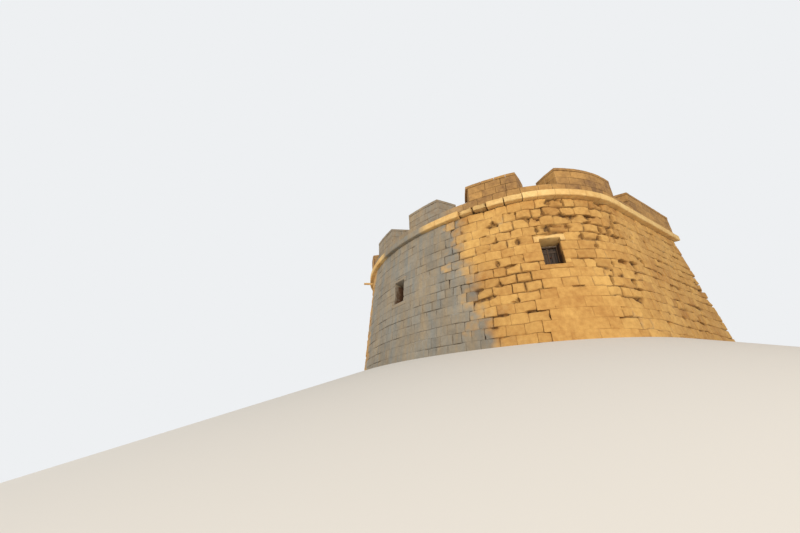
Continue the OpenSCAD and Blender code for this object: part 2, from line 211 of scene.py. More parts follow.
def snapped(grid):
    """The grid lines of stones along the wall, the nearest one moved onto each corner that a stone turns."""
    for corner in (-FLANK_END, FLANK_END, HEEL_END, GATE_END):
        turned = np.nonzero((grid[:, 0] < corner - 0.01) & (grid[:, -1] > corner + 0.01))[0]
        nearest = np.argmin(np.abs(grid[turned, 1:-1] - corner), axis=1) + 1
        grid[turned, nearest] = corner
    return grid


def mesh_piece(name, points, faces, material, marks=None, sharp=38):
    """A piece from points and faces, shaded smooth up to a sharp angle, with named values at its points."""
    mesh = bpy.data.meshes.new(name)
    mesh.from_pydata(np.asarray(points).reshape(-1, 3).tolist(), [], faces)
    for mark, values in (marks or {}).items():
        attribute = mesh.attributes.new(mark, "FLOAT", "POINT")
        attribute.data.foreach_set("value", np.ravel(values).astype(np.float32))
    mesh.polygons.foreach_set("use_smooth", [True] * len(mesh.polygons))
    mesh.set_sharp_from_angle(angle=math.radians(sharp))
    mesh.materials.append(material)
    mesh.validate()
    piece = bpy.data.objects.new(name, mesh)
    bpy.context.scene.collection.objects.link(piece)
    return piece


def settle(piece, slot, *nodes):
    """The piece rides on the tower and stands for the nodes it replaces. The slot is not used."""
    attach(piece, "root")
    if nodes:
        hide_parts(*nodes)


# Masonry

WINDOW_S = FRONT_END + SHOULDER_RADIUS * (WINDOW_TURN - HALF_ANGLE)
WINDOWS = (-WINDOW_S, 0.0, WINDOW_S)
GATE_MIDDLE = HEEL_END + GATE_HALF
# Openings in the facing: middle, half width, foot and head
OPENINGS = (
    *((s, WINDOW_STONE_HALF, SILL_BOTTOM, LINTEL_TOP) for s in WINDOWS),
    (GATE_MIDDLE, SURROUND_HALF, DOOR_SILL, SURROUND_TOP),
)
STONE_FIELDS = ("s0", "s1", "z0", "z1", "lean0", "lean1", "depth", "back", "wear", "tone")
BLOCK_FIELDS = ("x0", "x1", "y0", "y1", "z0", "z1", "lean0", "lean1", "wear", "tone")
STONE = np.dtype([(field, float) for field in STONE_FIELDS])
BLOCK = np.dtype([(field, float) for field in BLOCK_FIELDS])
STONE_DEPTH = 0.26
JAMB_DEPTH = 0.62
# Each joint stands at least this far from the joints of the course below, where it can
BOND = 0.15
# Grid on a stone's face: lines near each end, and how many between them along and upwards
FINE_GRID = ((0, 0.01, 0.026, 0.055), 9, 6)
PLAIN_GRID = ((0, 0.014, 0.04), 5, 2)

# Noise: size of its lumps in metres, and seed
JOINT_WIDTHS = (0.2, 1)
JOINT_DEPTHS = (0.3, 2)
FACE_LUMPS = (0.3, 3)
FACE_RIDGES = (0.13, 4)
CORNER_LUMPS = (0.12, 6)
GREY_DRIFT = (0.7, 8)
OPEN_JOINTS = (0.8, 9)
LOST_STONE = (0.42, 10)
BLOCK_EDGES = (0.17, 11)
BLOCK_LUMPS = (0.2, 12)
BLOCK_GRAIN = (0.07, 13)
BLOCK_CHIPS = (0.14, 14)
HOLLOW_RIMS = (0.22, 15)
GREY_RAGS = (0.16, 16)
CREEP_ALONG = (0.45, 21)
CREEP_UP = (0.4, 22)
SPOUT_LUMPS = (0.05, 31)

# The grey face of the nose, painted cool shade on the same stone: its right-hand edge at each height, its
# left-hand end, and how far each fades
GREY_Z = (0.2, 1.0, 1.8, 2.75, 4.4, 5.7)
GREY_S = (4.8, 4.5, 4.1, 4.1, 3.8, 3.65)
GREY_LEFT = -3.9
GREY_FADE = 1.7
GREY_LEFT_FADE = 1.5
# The nose is smooth up to here at each height
SMOOTH_Z = (0.3, 1.8, 2.6)
SMOOTH_S = (4.3, 3.8, 3.2)
SMOOTH_FADE = 0.9
# How worn the masonry is: 0 is as laid, 1 is deeply eaten
WEAR = {"eaten": 1.0, "common": 0.6, "heel": 0.45, "sound": 0.3, "nose": 0.2, "patch": 0.03}
# The eaten band round both shoulders: from and to along the wall, and its foot
EATEN = (6.6, 10.6, 3.7)
# The rough masonry of the left silhouette, where stones also stand further back
RAGGED = (-7.5, -4.7)
RAGGED_BACK = 2.2
# The repaired patch low on the right shoulder: from, step and to along the wall, and its top before and after
PATCH = (6.2, 7.0, 8.7)
PATCH_TOPS = (1.45, 1.95)
# Sound stretches, the thin slot, and stones set back: from and to along the wall, foot and top
SOUND = ((6.3, 8.4, 1.4, 2.75), (5.9, 6.7, 3.0, 3.85))
SLOT = (7.36, 7.76, 1.88, 1.98)
STEP = (3.6, 4.9, 1.93, 2.7)
STEP_BACK = 0.045
# Hollows: distance round the wall, height, half length and half height
HOLLOWS = (
    (6.24, 5.16, 0.2, 0.16), (6.0, 5.36, 0.24, 0.12), (6.44, 4.92, 0.16, 0.12), (5.0, 5.04, 0.26, 0.16),
    (4.76, 4.44, 0.3, 0.1), (6.04, 4.0, 0.34, 0.11), (7.72, 5.72, 0.34, 0.08), (7.8, 5.04, 0.22, 0.1),
    (7.72, 4.44, 0.36, 0.07), (7.28, 4.48, 0.16, 0.12), (9.64, 5.7, 0.3, 0.12), (10.3, 5.62, 0.24, 0.14),
    (9.04, 4.92, 0.34, 0.1), (10.24, 5.16, 0.22, 0.16), (9.48, 4.36, 0.3, 0.12), (8.68, 3.56, 0.3, 0.08),
    (8.72, 2.76, 0.4, 0.13), (5.08, 3.28, 0.16, 0.14), (4.2, 2.28, 0.2, 0.1), (4.6, 4.76, 0.18, 0.14),
    (5.28, 4.32, 0.26, 0.09), (9.7, 3.0, 0.3, 0.1), (11.0, 3.35, 0.16, 0.14), (16.85, 3.4, 0.4, 0.42),
    (16.6, 3.0, 0.3, 0.25), (8.92, 2.84, 0.4, 0.09), (8.84, 2.58, 0.3, 0.06), (9.48, 2.92, 0.1, 0.16),
    (10.24, 2.96, 0.17, 0.17), (10.14, 2.56, 0.24, 0.08), (9.84, 2.24, 0.16, 0.13), (9.9, 1.92, 0.2, 0.07),
    (9.68, 1.46, 0.26, 0.1), (8.8, 2.1, 0.1, 0.24), (9.24, 2.4, 0.14, 0.12),
)
# Worn stones creep this far along and up at most, and less within these distances of fixed edges and openings
CREEP = (0.09, 0.11)
STILL = 0.4
STILL_OPENING = 0.3
# Longest broken corner, its depth, and the depths of a hollow and of the worn rear corners
CHIP_REACH = 0.14
CHIP_DEPTH = 0.05
LOST_DEPTH = 0.035
CORNER_DEPTH = 0.045
# Least stone left in front of the backing
LEAST_FACE = 0.03
# Depths that take the full darkening on a facing stone and on a block: partly dirt, partly painted shade in
# hollows
FULL_DARK_DEPTH = 0.14
FULL_DARK_BLOCK_DEPTH = 0.05
# Painted shade in the windows' reveals: how dark the stones of a reveal get inwards, where that starts and over
# what distance
REVEAL_SHADE = 4.5
REVEAL_SHADE_START = -0.25
REVEAL_SHADE_REACH = 0.3


def fade(inside, width):
    """1 well inside an edge and 0 well outside it, from how far inside places are."""
    return np.clip(inside / width + 0.5, 0, 1)


def within_area(s, z, area):
    """Whether places on the wall lie in an area: from and to along the wall, foot and top."""
    s0, s1, z0, z1 = area
    return (s > s0) & (s < s1) & (z > z0) & (z < z1)


def greyness(s, z):
    """1 on the grey face of the nose, where cool shade is painted on the stone, 0 well off it."""
    return fade(np.interp(z, GREY_Z, GREY_S) - s, GREY_FADE) * fade(s - GREY_LEFT, GREY_LEFT_FADE)


def crept(s, z):
    """Places on the wall after its stones have crept out of line, none at openings, corners, top and foot."""
    free = np.minimum(z, WALL_TOP - z) / STILL
    for corner in (FLANK_END, HEEL_END, GATE_END):
        free = np.minimum(free, np.abs(np.abs(s) - corner) / STILL)
    for middle, half, low, high in OPENINGS:
        aside = np.maximum(np.abs(s - middle) - half, 0)
        free = np.minimum(free, np.hypot(aside, np.maximum(np.maximum(low - z, z - high), 0)) / STILL_OPENING)
    free = np.clip(free, 0, 1) * wear_at(s, z)
    flat = np.stack([s, z, np.zeros_like(s)], axis=-1)
    along, upwards = CREEP
    return (s + along * free * (grain(flat, *CREEP_ALONG) - 0.5),
            z + upwards * free * (grain(flat, *CREEP_UP) - 0.5))


def wear_at(s, z):
    """How worn the masonry is at s and z."""
    eaten = (np.abs(s) > EATEN[0]) & (np.abs(s) < EATEN[1]) & (z > EATEN[2])
    worn = np.where(eaten | (s > RAGGED[0]) & (s < RAGGED[1]), WEAR["eaten"], WEAR["common"])
    worn = np.where(np.abs(s) > FLANK_END, WEAR["heel"], worn)
    smooth = fade(np.interp(z, SMOOTH_Z, SMOOTH_S) - s, SMOOTH_FADE) * fade(s - GREY_LEFT, SMOOTH_FADE)
    worn = worn + (WEAR["nose"] - worn) * smooth
    for area in SOUND:
        worn = np.where(within_area(s, z, area), WEAR["sound"], worn)
    patched = (s > PATCH[0]) & (s < PATCH[2]) & (z < np.where(s < PATCH[1], *PATCH_TOPS))
    return np.where(patched, WEAR["patch"], worn)


def softened(values):
    """Grid values, each averaged with its four neighbours, the rim as it was."""
    beside = values[:, :-2, 1:-1] + values[:, 2:, 1:-1] + values[:, 1:-1, :-2] + values[:, 1:-1, 2:]
    result = values.copy()
    result[:, 1:-1, 1:-1] = 0.4 * values[:, 1:-1, 1:-1] + 0.15 * beside
    return result


def lost_stone(flat, wear):
    """Where stone is gone, from 0 to 1: here and there in the most worn parts, in hollows, at the slot."""
    s, z = flat[..., 0], flat[..., 1]
    lost = np.clip((grain(flat * (1, 1.8, 1), *LOST_STONE) - 0.86 + 0.2 * wear) * 5, 0, 1)
    ragged = grain(flat, *HOLLOW_RIMS) - 0.5
    for place, height, long, tall in HOLLOWS:
        for side in (1, -1):
            reach = np.hypot((s - side * place) / long, (z - height) / tall) + ragged
            lost = np.maximum(lost, np.clip(2.2 - 2.0 * reach, 0, 1))
    lost = softened(softened(lost))
    lost = lost * lost * (3 - 2 * lost) * np.clip(2 * wear - 0.2, 0, 1)
    return np.maximum(lost, 0.8 * within_area(s, z, SLOT))


def broken_corners(left, right, below, above, wear):
    """How near each place is to a stone's broken corner, from 0 to 1."""
    draw = np.random.default_rng(SEED + len(left))
    chipped = np.zeros_like(left)
    for ends, heights in ((left, below), (right, below), (left, above), (right, above)):
        reach = draw.uniform(0.0, CHIP_REACH, (len(left), 1, 1)) * (0.3 + wear)
        chipped = np.maximum(chipped, np.clip(1 - np.hypot(ends, heights) / np.maximum(reach, 1e-3), 0, 1))
    return chipped


def repeated(pattern, size, count):
    """The faces of count like shapes, each of size points."""
    return [tuple(corner + n * size for corner in face) for n in range(count) for face in pattern]


def between_rings(rings, count):
    """Faces between rings of count points each."""
    sides = [(i, (i + 1) % count) for i in range(count)]
    starts = [k * count for k in range(rings - 1)]
    return [(k + i, k + j, k + count + j, k + count + i) for k in starts for i, j in sides]


def tube(rings, count):
    """Faces between rings of count points each, closed at both ends."""
    return between_rings(rings, count) + [
        tuple(reversed(range(count))), tuple(range((rings - 1) * count, rings * count))]


def stone_faces(across, up, count):
    """Rim of a front grid of across by up points, and the faces of count stones, each with a plain back."""
    rim = [(i, 0) for i in range(across)] + [(across - 1, j) for j in range(1, up)]
    rim += [(i, up - 1) for i in range(across - 2, -1, -1)] + [(0, j) for j in range(up - 2, 0, -1)]
    loop = [i * up + j for i, j in rim]
    turns = len(loop)
    back = [across * up + k for k in range(turns)]
    pattern = [(i * up + j, (i + 1) * up + j, (i + 1) * up + j + 1, i * up + j + 1)
               for i in range(across - 1) for j in range(up - 1)]
    pattern += [(back[k], back[(k + 1) % turns], loop[(k + 1) % turns], loop[k]) for k in range(turns)]
    pattern.append(tuple(reversed(back)))
    return np.array(rim).T, repeated(pattern, across * up + turns, count)


def face_piece(name, stones, look, material, grid):
    """Facing stones: a worn front grid on each, and plain sides that run back into the wall."""
    near, along, upward = grid
    s = snapped(lines(stones["s0"], stones["s1"], near, along))
    z = lines(stones["z0"], stones["z1"], near, upward)
    count, across, up = len(stones), s.shape[1], z.shape[1]
    s, z = np.broadcast_arrays(s[:, :, None], z[:, None, :])
    each = {field: stones[field][:, None, None] for field in STONE_FIELDS}
    left, right, below, above = s - each["s0"], each["s1"] - s, z - each["z0"], each["z1"] - z
    wear = each["wear"]
    flat = np.stack([s, z, np.zeros_like(s)], axis=-1)
    own = flat + np.arange(count)[:, None, None, None] * 3.7

    lost = lost_stone(flat, wear)
    opened = np.clip(grain(flat * (1, 2.6, 1), *OPEN_JOINTS) * 4 - 1.9, 0, 1)
    opened = np.maximum(opened, 2.4 * lost)
    gap = look.joint_width * (0.4 + 1.2 * grain(flat, *JOINT_WIDTHS)) * (0.3 + wear) * (0.7 + 1.6 * opened)
    aside, beside = np.minimum(left, right), np.minimum(below, above)
    joint = np.clip((1 - np.minimum(aside, beside) / gap) * (1 + 0.9 * lost), 0, 1) ** 1.2
    cut = look.joint_depth * (0.3 + grain(flat, *JOINT_DEPTHS)) * (0.15 + wear) * (0.6 + 1.6 * opened)

    ridges = 1 - np.abs(2 * grain(own, *FACE_RIDGES) - 1)
    rough = look.roughness * wear * (0.6 * grain(own, *FACE_LUMPS) + 0.4 * ridges)
    middle = np.minimum(1, 4 * aside * beside / ((left + right) * (below + above) / 4))
    crown = 0.12 * look.roughness * wear * (1 - middle)
    chipped = broken_corners(left, right, below, above, wear)
    sunk = each["back"] + rough + crown + joint * cut + CHIP_DEPTH * chipped * wear + LOST_DEPTH * lost
    arris = np.isin(s, (-FLANK_END, FLANK_END)) * CORNER_DEPTH * grain(own, *CORNER_LUMPS)
    sunk = np.minimum(sunk + arris, look.backing_inset - LEAST_FACE)

    # A ragged edge for the painted cool shade of the nose
    strayed = 0.3 * each["tone"] + 1.2 * (grain(flat, *GREY_DRIFT) - 0.5)
    strayed = strayed + 0.6 * (grain(flat, *GREY_RAGS) - 0.5)
    grey = greyness(s + strayed, z)
    span = left / (left + right)
    lean = each["lean0"] * (1 - span) + each["lean1"] * span
    (rim_i, rim_j), faces = stone_faces(across, up, count)
    s, z = crept(s, z)
    out = face_out(z) - sunk
    front = bend(s + out * lean, out, z).reshape(count, -1, 3)
    s, z, lean = (values[:, rim_i, rim_j] for values in (s, z, lean))
    out = face_out(z) - stones["depth"][:, None]
    rear = bend(s + out * lean, out, z)

    def marked(values, inwards=0.0):
        return np.concatenate([values.reshape(count, -1), values[:, rim_i, rim_j] + inwards], axis=1)

    # grey marks painted cool shade on the nose; sunk darkens with depth, partly dirt and partly painted shade
    # in hollows, and the stones' sides darken inwards as painted shade in the reveals
    marks = {
        "tone": marked(np.broadcast_to(each["tone"], grey.shape)),
        "joint": marked(np.maximum(joint * np.minimum(1, cut / 0.05 + 0.6 * grey), 0.5 * chipped * wear)),
        "grey": marked(grey),
        "sunk": marked(np.clip(sunk / FULL_DARK_DEPTH, 0, 1), REVEAL_SHADE),
    }
    return mesh_piece(name, np.concatenate([front, rear], axis=1), faces, material, marks)


def shell(nx, ny, nz):
    """Grid places on the surface of a box of nx by ny by nz lines along, outwards and up, and its faces."""
    place = {}

    def corner(*at):
        return place.setdefault(at, len(place))

    faces = []
    counts = (nx, ny, nz)
    for axis in range(3):
        u, v = (axis + 1) % 3, (axis + 2) % 3
        for level, turned in ((0, False), (counts[axis] - 1, True)):
            for i in range(counts[u] - 1):
                for j in range(counts[v] - 1):
                    face = []
                    for di, dj in ((0, 0), (1, 0), (1, 1), (0, 1)):
                        at = [0, 0, 0]
                        at[axis], at[u], at[v] = level, i + di, j + dj
                        face.append(corner(*at))
                    faces.append(tuple(reversed(face)) if turned else tuple(face))
    return np.array(list(place)), faces


def block_piece(name, blocks, place, material, rounding=0.03, roughness=0.012, middle=(4, 1, 2), near=None,
                shape=None, grey=None, recess_shade=0.0):
    """Blocks with rounded, chipped arrises and worn faces, each in its own box, placed by a function. Inwards
    of a window's face they darken with painted shade of its recess.
    """
    near = near or (0, rounding * 0.4, rounding * 1.2)
    xs = lines(blocks["x0"], blocks["x1"], near, middle[0])
    if place is bend:
        xs = snapped(xs)
    ys = lines(blocks["y0"], blocks["y1"], near, middle[1])
    zs = lines(blocks["z0"], blocks["z1"], near, middle[2])
    grid, pattern = shell(xs.shape[1], ys.shape[1], zs.shape[1])
    spot = np.stack([xs[:, grid[:, 0]], ys[:, grid[:, 1]], zs[:, grid[:, 2]]], axis=-1)
    low = np.stack([blocks["x0"], blocks["y0"], blocks["z0"]], axis=-1)[:, None]
    high = np.stack([blocks["x1"], blocks["y1"], blocks["z1"]], axis=-1)[:, None]
    own = spot + np.arange(len(blocks))[:, None, None] * 5.3
    wear = blocks["wear"][:, None]

    round_by = rounding * (0.35 + 1.1 * grain(own, *BLOCK_EDGES)) * (0.4 + 0.8 * wear)
    round_by = np.minimum(round_by[..., None], 0.45 * (high - low))
    inner = np.clip(spot, low + round_by, high - round_by)
    away = spot - inner
    length = np.maximum(np.linalg.norm(away, axis=-1, keepdims=True), 1e-9)
    reach = np.max(np.abs(away), axis=-1, keepdims=True)
    turned = away / length
    sunk = roughness * wear * (0.6 * grain(own, *BLOCK_LUMPS) + 0.4 * grain(own, *BLOCK_GRAIN))
    edge = np.clip((np.sum(np.abs(away), axis=-1, keepdims=True) / np.maximum(reach, 1e-9) - 1), 0, 1)[..., 0]
    chip = np.clip(grain(own, *BLOCK_CHIPS) * 3.2 - 2.2, 0, 1) * edge
    sunk = sunk + rounding * 1.1 * wear * chip
    spot = inner + turned * (reach - sunk[..., None])

    x, y, z = spot[..., 0], spot[..., 1], spot[..., 2]
    if shape:
        y, z = shape(x, y, z)
    span = (x - blocks["x0"][:, None]) / (blocks["x1"] - blocks["x0"])[:, None]
    lean = blocks["lean0"][:, None] * (1 - span) + blocks["lean1"][:, None] * span
    points = place(x + lean * (y - PARAPET_OUT), y, z)
    # The sunk mark darkens with depth, partly dirt and partly painted shade in chips and hollows, plus painted
    # shade inwards in a window's recess
    marks = {
        "tone": np.broadcast_to(blocks["tone"][:, None], x.shape),
        "joint": np.clip(0.4 * edge + 0.6 * chip, 0, 1),
        "grey": np.broadcast_to(0.0 if grey is None else grey(x, z), x.shape),
        "sunk": np.clip(sunk / FULL_DARK_BLOCK_DEPTH, 0, 1) + recess_shade * np.clip((REVEAL_SHADE_START - y) / REVEAL_SHADE_REACH, 0, 1),
    }
    return mesh_piece(name, points, repeated(pattern, len(grid), len(blocks)), material, marks)


# Materials


def linear(code):
    """Linear colour of an sRGB hex value."""
    parts = [int(code[k:k + 2], 16) / 255 for k in (1, 3, 5)]
    return tuple(c / 12.92 if c <= 0.04045 else ((c + 0.055) / 1.055) ** 2.4 for c in parts)


def add(tree, kind, inputs=None, **settings):
    """Outputs of a new node with these settings, its inputs set to values or linked to other sockets."""
    made = tree.nodes.new(kind)
    for setting, value in settings.items():
        setattr(made, setting, value)
    for key, value in (inputs or {}).items():
        for one in value if isinstance(value, list) else [value]:
            if isinstance(one, bpy.types.NodeSocket):
                tree.links.new(one, made.inputs[key])
            else:
                made.inputs[key].default_value = (*one, 1.0) if isinstance(one, Color) else one
    return made.outputs


# Sockets of the colour Mix node
FACTOR, FIRST, SECOND, MIXED = 0, 6, 7, 2


def new_material(name):
    """An empty material and its tree."""
    material = bpy.data.materials.new(name)
    material.use_nodes = True
    material.node_tree.nodes.clear()
    return material, material.node_tree


def surface(tree, colour, height, depth, roughness, metallic=0.0):
    """Ends a tree in a shader with a colour, a bump of that depth in metres, and a roughness."""
    bump = add(tree, "ShaderNodeBump", {"Height": height, "Distance": depth, "Strength": 1.0})
    shader = add(tree, "ShaderNodeBsdfPrincipled",
                 {"Base Color": colour, "Roughness": roughness, "Metallic": metallic, "Normal": bump[0]})
    add(tree, "ShaderNodeOutputMaterial", {"Surface": shader[0]})


def masonry(name, look, light, dark):
    """Stone that reads its tone, joints, depth and grey from the piece's own points; the grey is painted cool
    shade on the nose.

    Lumps of colour about 1.4 m across, streaks where rain ran down, bedding 45 mm thick, grit of 15 mm and
    patches of 30 mm pits.
    """
    material, tree = new_material(name)
    where = add(tree, "ShaderNodeTexCoord")["Object"]
    tone, joint, grey, sunk = (add(tree, "ShaderNodeAttribute", attribute_name=mark)["Fac"]
                               for mark in ("tone", "joint", "grey", "sunk"))
    lumps, blotch, grit = (
        add(tree, "ShaderNodeTexNoise", {"Vector": where, "Scale": 1 / size, "Detail": detail})["Fac"]
        for size, detail in ((1.4, 4.0), (0.16, 5.0), (0.015, 3.0)))
    spread = add(tree, "ShaderNodeMath", {0: tone, 1: 0.2, 2: lumps}, operation="MULTIPLY_ADD")[0]
    spread = add(tree, "ShaderNodeMath", {0: blotch, 1: 0.9, 2: spread}, operation="MULTIPLY_ADD")[0]
    share = add(tree, "ShaderNodeMapRange", {"Value": spread, "From Min": 0.55, "From Max": 1.35})[0]
    warm = add(tree, "ShaderNodeMix", {FACTOR: share, FIRST: dark, SECOND: light}, data_type="RGBA")[MIXED]
    # The grey mark mixes in painted cool shade on the nose, over the same warm stone
    cold = cool_shade_streaked(tree, look, where, spread, grey)

    ragged = add(tree, "ShaderNodeMath", {0: blotch, 1: 0.8, 2: -0.4}, operation="MULTIPLY_ADD")[0]
    cool_shade_share = add(tree, "ShaderNodeMath", {0: grey, 1: 1.15, 2: ragged}, operation="MULTIPLY_ADD")[0]
    cool_shade_share = add(tree, "ShaderNodeMath", {0: cool_shade_share, 1: grey}, operation="MULTIPLY", use_clamp=True)[0]
    face = add(tree, "ShaderNodeMix", {FACTOR: cool_shade_share, FIRST: warm, SECOND: cold}, data_type="RGBA")[MIXED]
    speck = add(tree, "ShaderNodeMapRange",
                {"Value": grit, "From Min": 0.3, "From Max": 0.7, "To Min": 0.86, "To Max": 1.08})[0]
    face = shaded(tree, face, speck)

    # Darker in joints and with depth: partly dirt, partly painted shade in hollows and in the windows' reveals
    hold = add(tree, "ShaderNodeMapRange", {"Value": blotch, "From Min": 0.4, "From Max": 0.62})[0]
    dirt_and_shade = add(tree, "ShaderNodeMath", {0: joint, 1: hold}, operation="MULTIPLY")[0]
    dirt_and_shade = add(tree, "ShaderNodeMath", {0: sunk, 1: 0.55, 2: dirt_and_shade}, operation="MULTIPLY_ADD")[0]
    dirt_and_shade = add(tree, "ShaderNodeMath", {0: dirt_and_shade, 1: 0.62}, operation="MULTIPLY", use_clamp=True)[0]
    darkened = {FACTOR: dirt_and_shade, FIRST: face, SECOND: look.stain_and_shade}
    face = add(tree, "ShaderNodeMix", darkened, data_type="RGBA")[MIXED]
    fresh = add(tree, "ShaderNodeMapRange", {"Value": lumps, "From Min": 0.52, "From Max": 0.6})[0]
    filled = add(tree, "ShaderNodeMath", {0: fresh, 1: joint}, operation="MULTIPLY")[0]
    shallow = add(tree, "ShaderNodeMapRange",
                  {"Value": sunk, "From Min": 0.15, "From Max": 0.6, "To Min": 0.75, "To Max": 0.0})[0]
    filled = add(tree, "ShaderNodeMath", {0: filled, 1: shallow}, operation="MULTIPLY")[0]
    mortar = add(tree, "ShaderNodeMix",
                 {FACTOR: cool_shade_share, FIRST: look.mortar, SECOND: look.mortar_grey}, data_type="RGBA")[MIXED]
    face = add(tree, "ShaderNodeMix", {FACTOR: filled, FIRST: face, SECOND: mortar}, data_type="RGBA")[MIXED]
    surface(tree, face, stone_relief(tree, where, blotch, grit), 0.006, 0.93)
    return material


def shaded(tree, colour, shade):
    """A colour made lighter or darker by a plain shade."""
    plain = add(tree, "ShaderNodeCombineColor", {0: shade, 1: shade, 2: shade})[0]
    return add(tree, "ShaderNodeMix", {FACTOR: 1.0, FIRST: colour, SECOND: plain},
               data_type="RGBA", blend_type="MULTIPLY")[MIXED]


def cool_shade_streaked(tree, look, where, spread, grey):
    """Painted cool shade for the grey of the nose, with cooler streaks 0.34 m wide and 2.6 m long, where the
    grey is deep enough.
    """
    drawn = add(tree, "ShaderNodeMapping", {"Vector": where, "Scale": (1 / 0.34, 1 / 0.34, 1 / 2.6)})[0]
    streak = add(tree, "ShaderNodeTexNoise",
                 {"Vector": drawn, "Scale": 1.0, "Detail": 6.0, "Roughness": 0.62})["Fac"]
    run = add(tree, "ShaderNodeMapRange", {"Value": streak, "From Min": 0.34, "From Max": 0.68})[0]
    deep = add(tree, "ShaderNodeMapRange", {"Value": grey, "From Min": 0.4, "From Max": 0.95})[0]
    run = add(tree, "ShaderNodeMath", {0: run, 1: deep}, operation="MULTIPLY")[0]
    cold = add(tree, "ShaderNodeMix",
               {FACTOR: run, FIRST: look.grey_warm, SECOND: look.grey_cool}, data_type="RGBA")[MIXED]
    shade = add(tree, "ShaderNodeMapRange",
                {"Value": spread, "From Min": 0.5, "From Max": 1.4, "To Min": 0.74, "To Max": 1.16})[0]
    return shaded(tree, cold, shade)


def stone_relief(tree, where, blotch, grit):
    """Height of the stone's skin: grit, blotches, bedding layers, and pits where it isn't sound."""
    pits = add(tree, "ShaderNodeTexVoronoi", {"Vector": where, "Scale": 1 / 0.03}, feature="F1")["Distance"]
    pits = add(tree, "ShaderNodeMapRange", {"Value": pits, "From Min": 0.05, "From Max": 0.3})[0]
    sound = add(tree, "ShaderNodeMapRange", {"Value": blotch, "From Min": 0.42, "From Max": 0.52})[0]
    pits = add(tree, "ShaderNodeMath", {0: pits, 1: sound}, operation="MAXIMUM")[0]
    layers = add(tree, "ShaderNodeMapping", {"Vector": where, "Scale": (1 / 0.6, 1 / 0.6, 1 / 0.045)})[0]
    layers = add(tree, "ShaderNodeTexNoise", {"Vector": layers, "Scale": 1.0, "Detail": 3.0})["Fac"]
    rough = add(tree, "ShaderNodeMath", {0: grit, 1: 0.5, 2: pits}, operation="MULTIPLY_ADD")[0]
    rough = add(tree, "ShaderNodeMath", {0: blotch, 1: 1.4, 2: rough}, operation="MULTIPLY_ADD")[0]
    return add(tree, "ShaderNodeMath", {0: layers, 1: 1.6, 2: rough}, operation="MULTIPLY_ADD")[0]


def tooled_ashlar(look):
    """Soft yellow sandstone, squared with a pick: sandy, pitted, ochre, and grey where cool shade is painted on
    the nose.
    """
    return masonry("picked_sandstone_ashlar", look, look.stone_light, look.stone_dark)


def dressed_stone(look):
    """Finer sandstone, dressed with a chisel: paler and closer, for the cordon and the openings."""
    return masonry("dressed_sandstone", look, look.dressed_light, look.dressed_dark)


def parapet_stone(look):
    """The same sandstone on the parapet, painted darker and browner as shade on its faces."""
    return masonry("lichened_sandstone", look, look.parapet_light, look.parapet_dark)


def lime_plaster(look):
    """Limewashed rubble inside the walls: a pale uneven coat that shows the lumps of the stones under it."""
    material, tree = new_material("limewashed_rubble")
    where = add(tree, "ShaderNodeTexCoord")["Object"]
    stones = add(tree, "ShaderNodeTexVoronoi", {"Vector": where, "Scale": 1 / 0.32}, feature="SMOOTH_F1")
    coat = add(tree, "ShaderNodeTexNoise", {"Vector": where, "Scale": 1 / 0.5, "Detail": 5.0})["Fac"]
    share = add(tree, "ShaderNodeMapRange", {"Value": coat, "From Min": 0.35, "From Max": 0.65})[0]
    colour = add(tree, "ShaderNodeMix",
                 {FACTOR: share, FIRST: look.lime_dark, SECOND: look.lime_light}, data_type="RGBA")[MIXED]
    surface(tree, colour, stones["Distance"], 0.03, 0.9)
    return material


def rubble_fill(look):
    """Broken stone and earth packed under the floor: brown lumps of about 0.2 m in pale dusty mortar."""
    material, tree = new_material("packed_rubble")
    where = add(tree, "ShaderNodeTexCoord")["Object"]
    lumps = add(tree, "ShaderNodeTexVoronoi", {"Vector": where, "Scale": 1 / 0.2}, feature="F1")
    edges = add(tree, "ShaderNodeTexVoronoi", {"Vector": where, "Scale": 1 / 0.2}, feature="DISTANCE_TO_EDGE")
    shade = add(tree, "ShaderNodeSeparateColor", {0: lumps["Color"]})[0]
    stone = add(tree, "ShaderNodeMix",
                {FACTOR: shade, FIRST: look.stone_dark, SECOND: look.stone_light}, data_type="RGBA")[MIXED]
    gap = add(tree, "ShaderNodeMapRange", {"Value": edges["Distance"], "From Max": 0.12})[0]
    colour = add(tree, "ShaderNodeMix",
                 {FACTOR: gap, FIRST: look.mortar, SECOND: stone}, data_type="RGBA")[MIXED]
    surface(tree, colour, gap, 0.03, 0.95)
    return material


def flag_stone(look):
    """Sawn limestone flags, rubbed smooth by boots: greyer than the walls, with fine grit."""
    return masonry("worn_limestone_flags", look, look.flag_light, look.flag_dark)


def laid_floor(look):
    """The chamber floor's flags: courses 0.45 m wide with thin pale joints, drawn in plan."""
    material, tree = new_material("laid_limestone_floor")
    where = add(tree, "ShaderNodeTexCoord")["Object"]
    bond = add(tree, "ShaderNodeTexBrick", {
        "Vector": where, "Color1": look.flag_light, "Color2": look.flag_dark, "Mortar": look.mortar,
        "Scale": 1.0, "Mortar Size": 0.008, "Brick Width": 0.8, "Row Height": 0.45})
    wear = add(tree, "ShaderNodeTexNoise", {"Vector": where, "Scale": 1 / 0.05, "Detail": 4.0})["Fac"]
    height = add(tree, "ShaderNodeMath", {0: bond["Fac"], 1: -1.0, 2: wear}, operation="MULTIPLY_ADD")[0]
    surface(tree, bond["Color"], height, 0.006, 0.8)
    return material


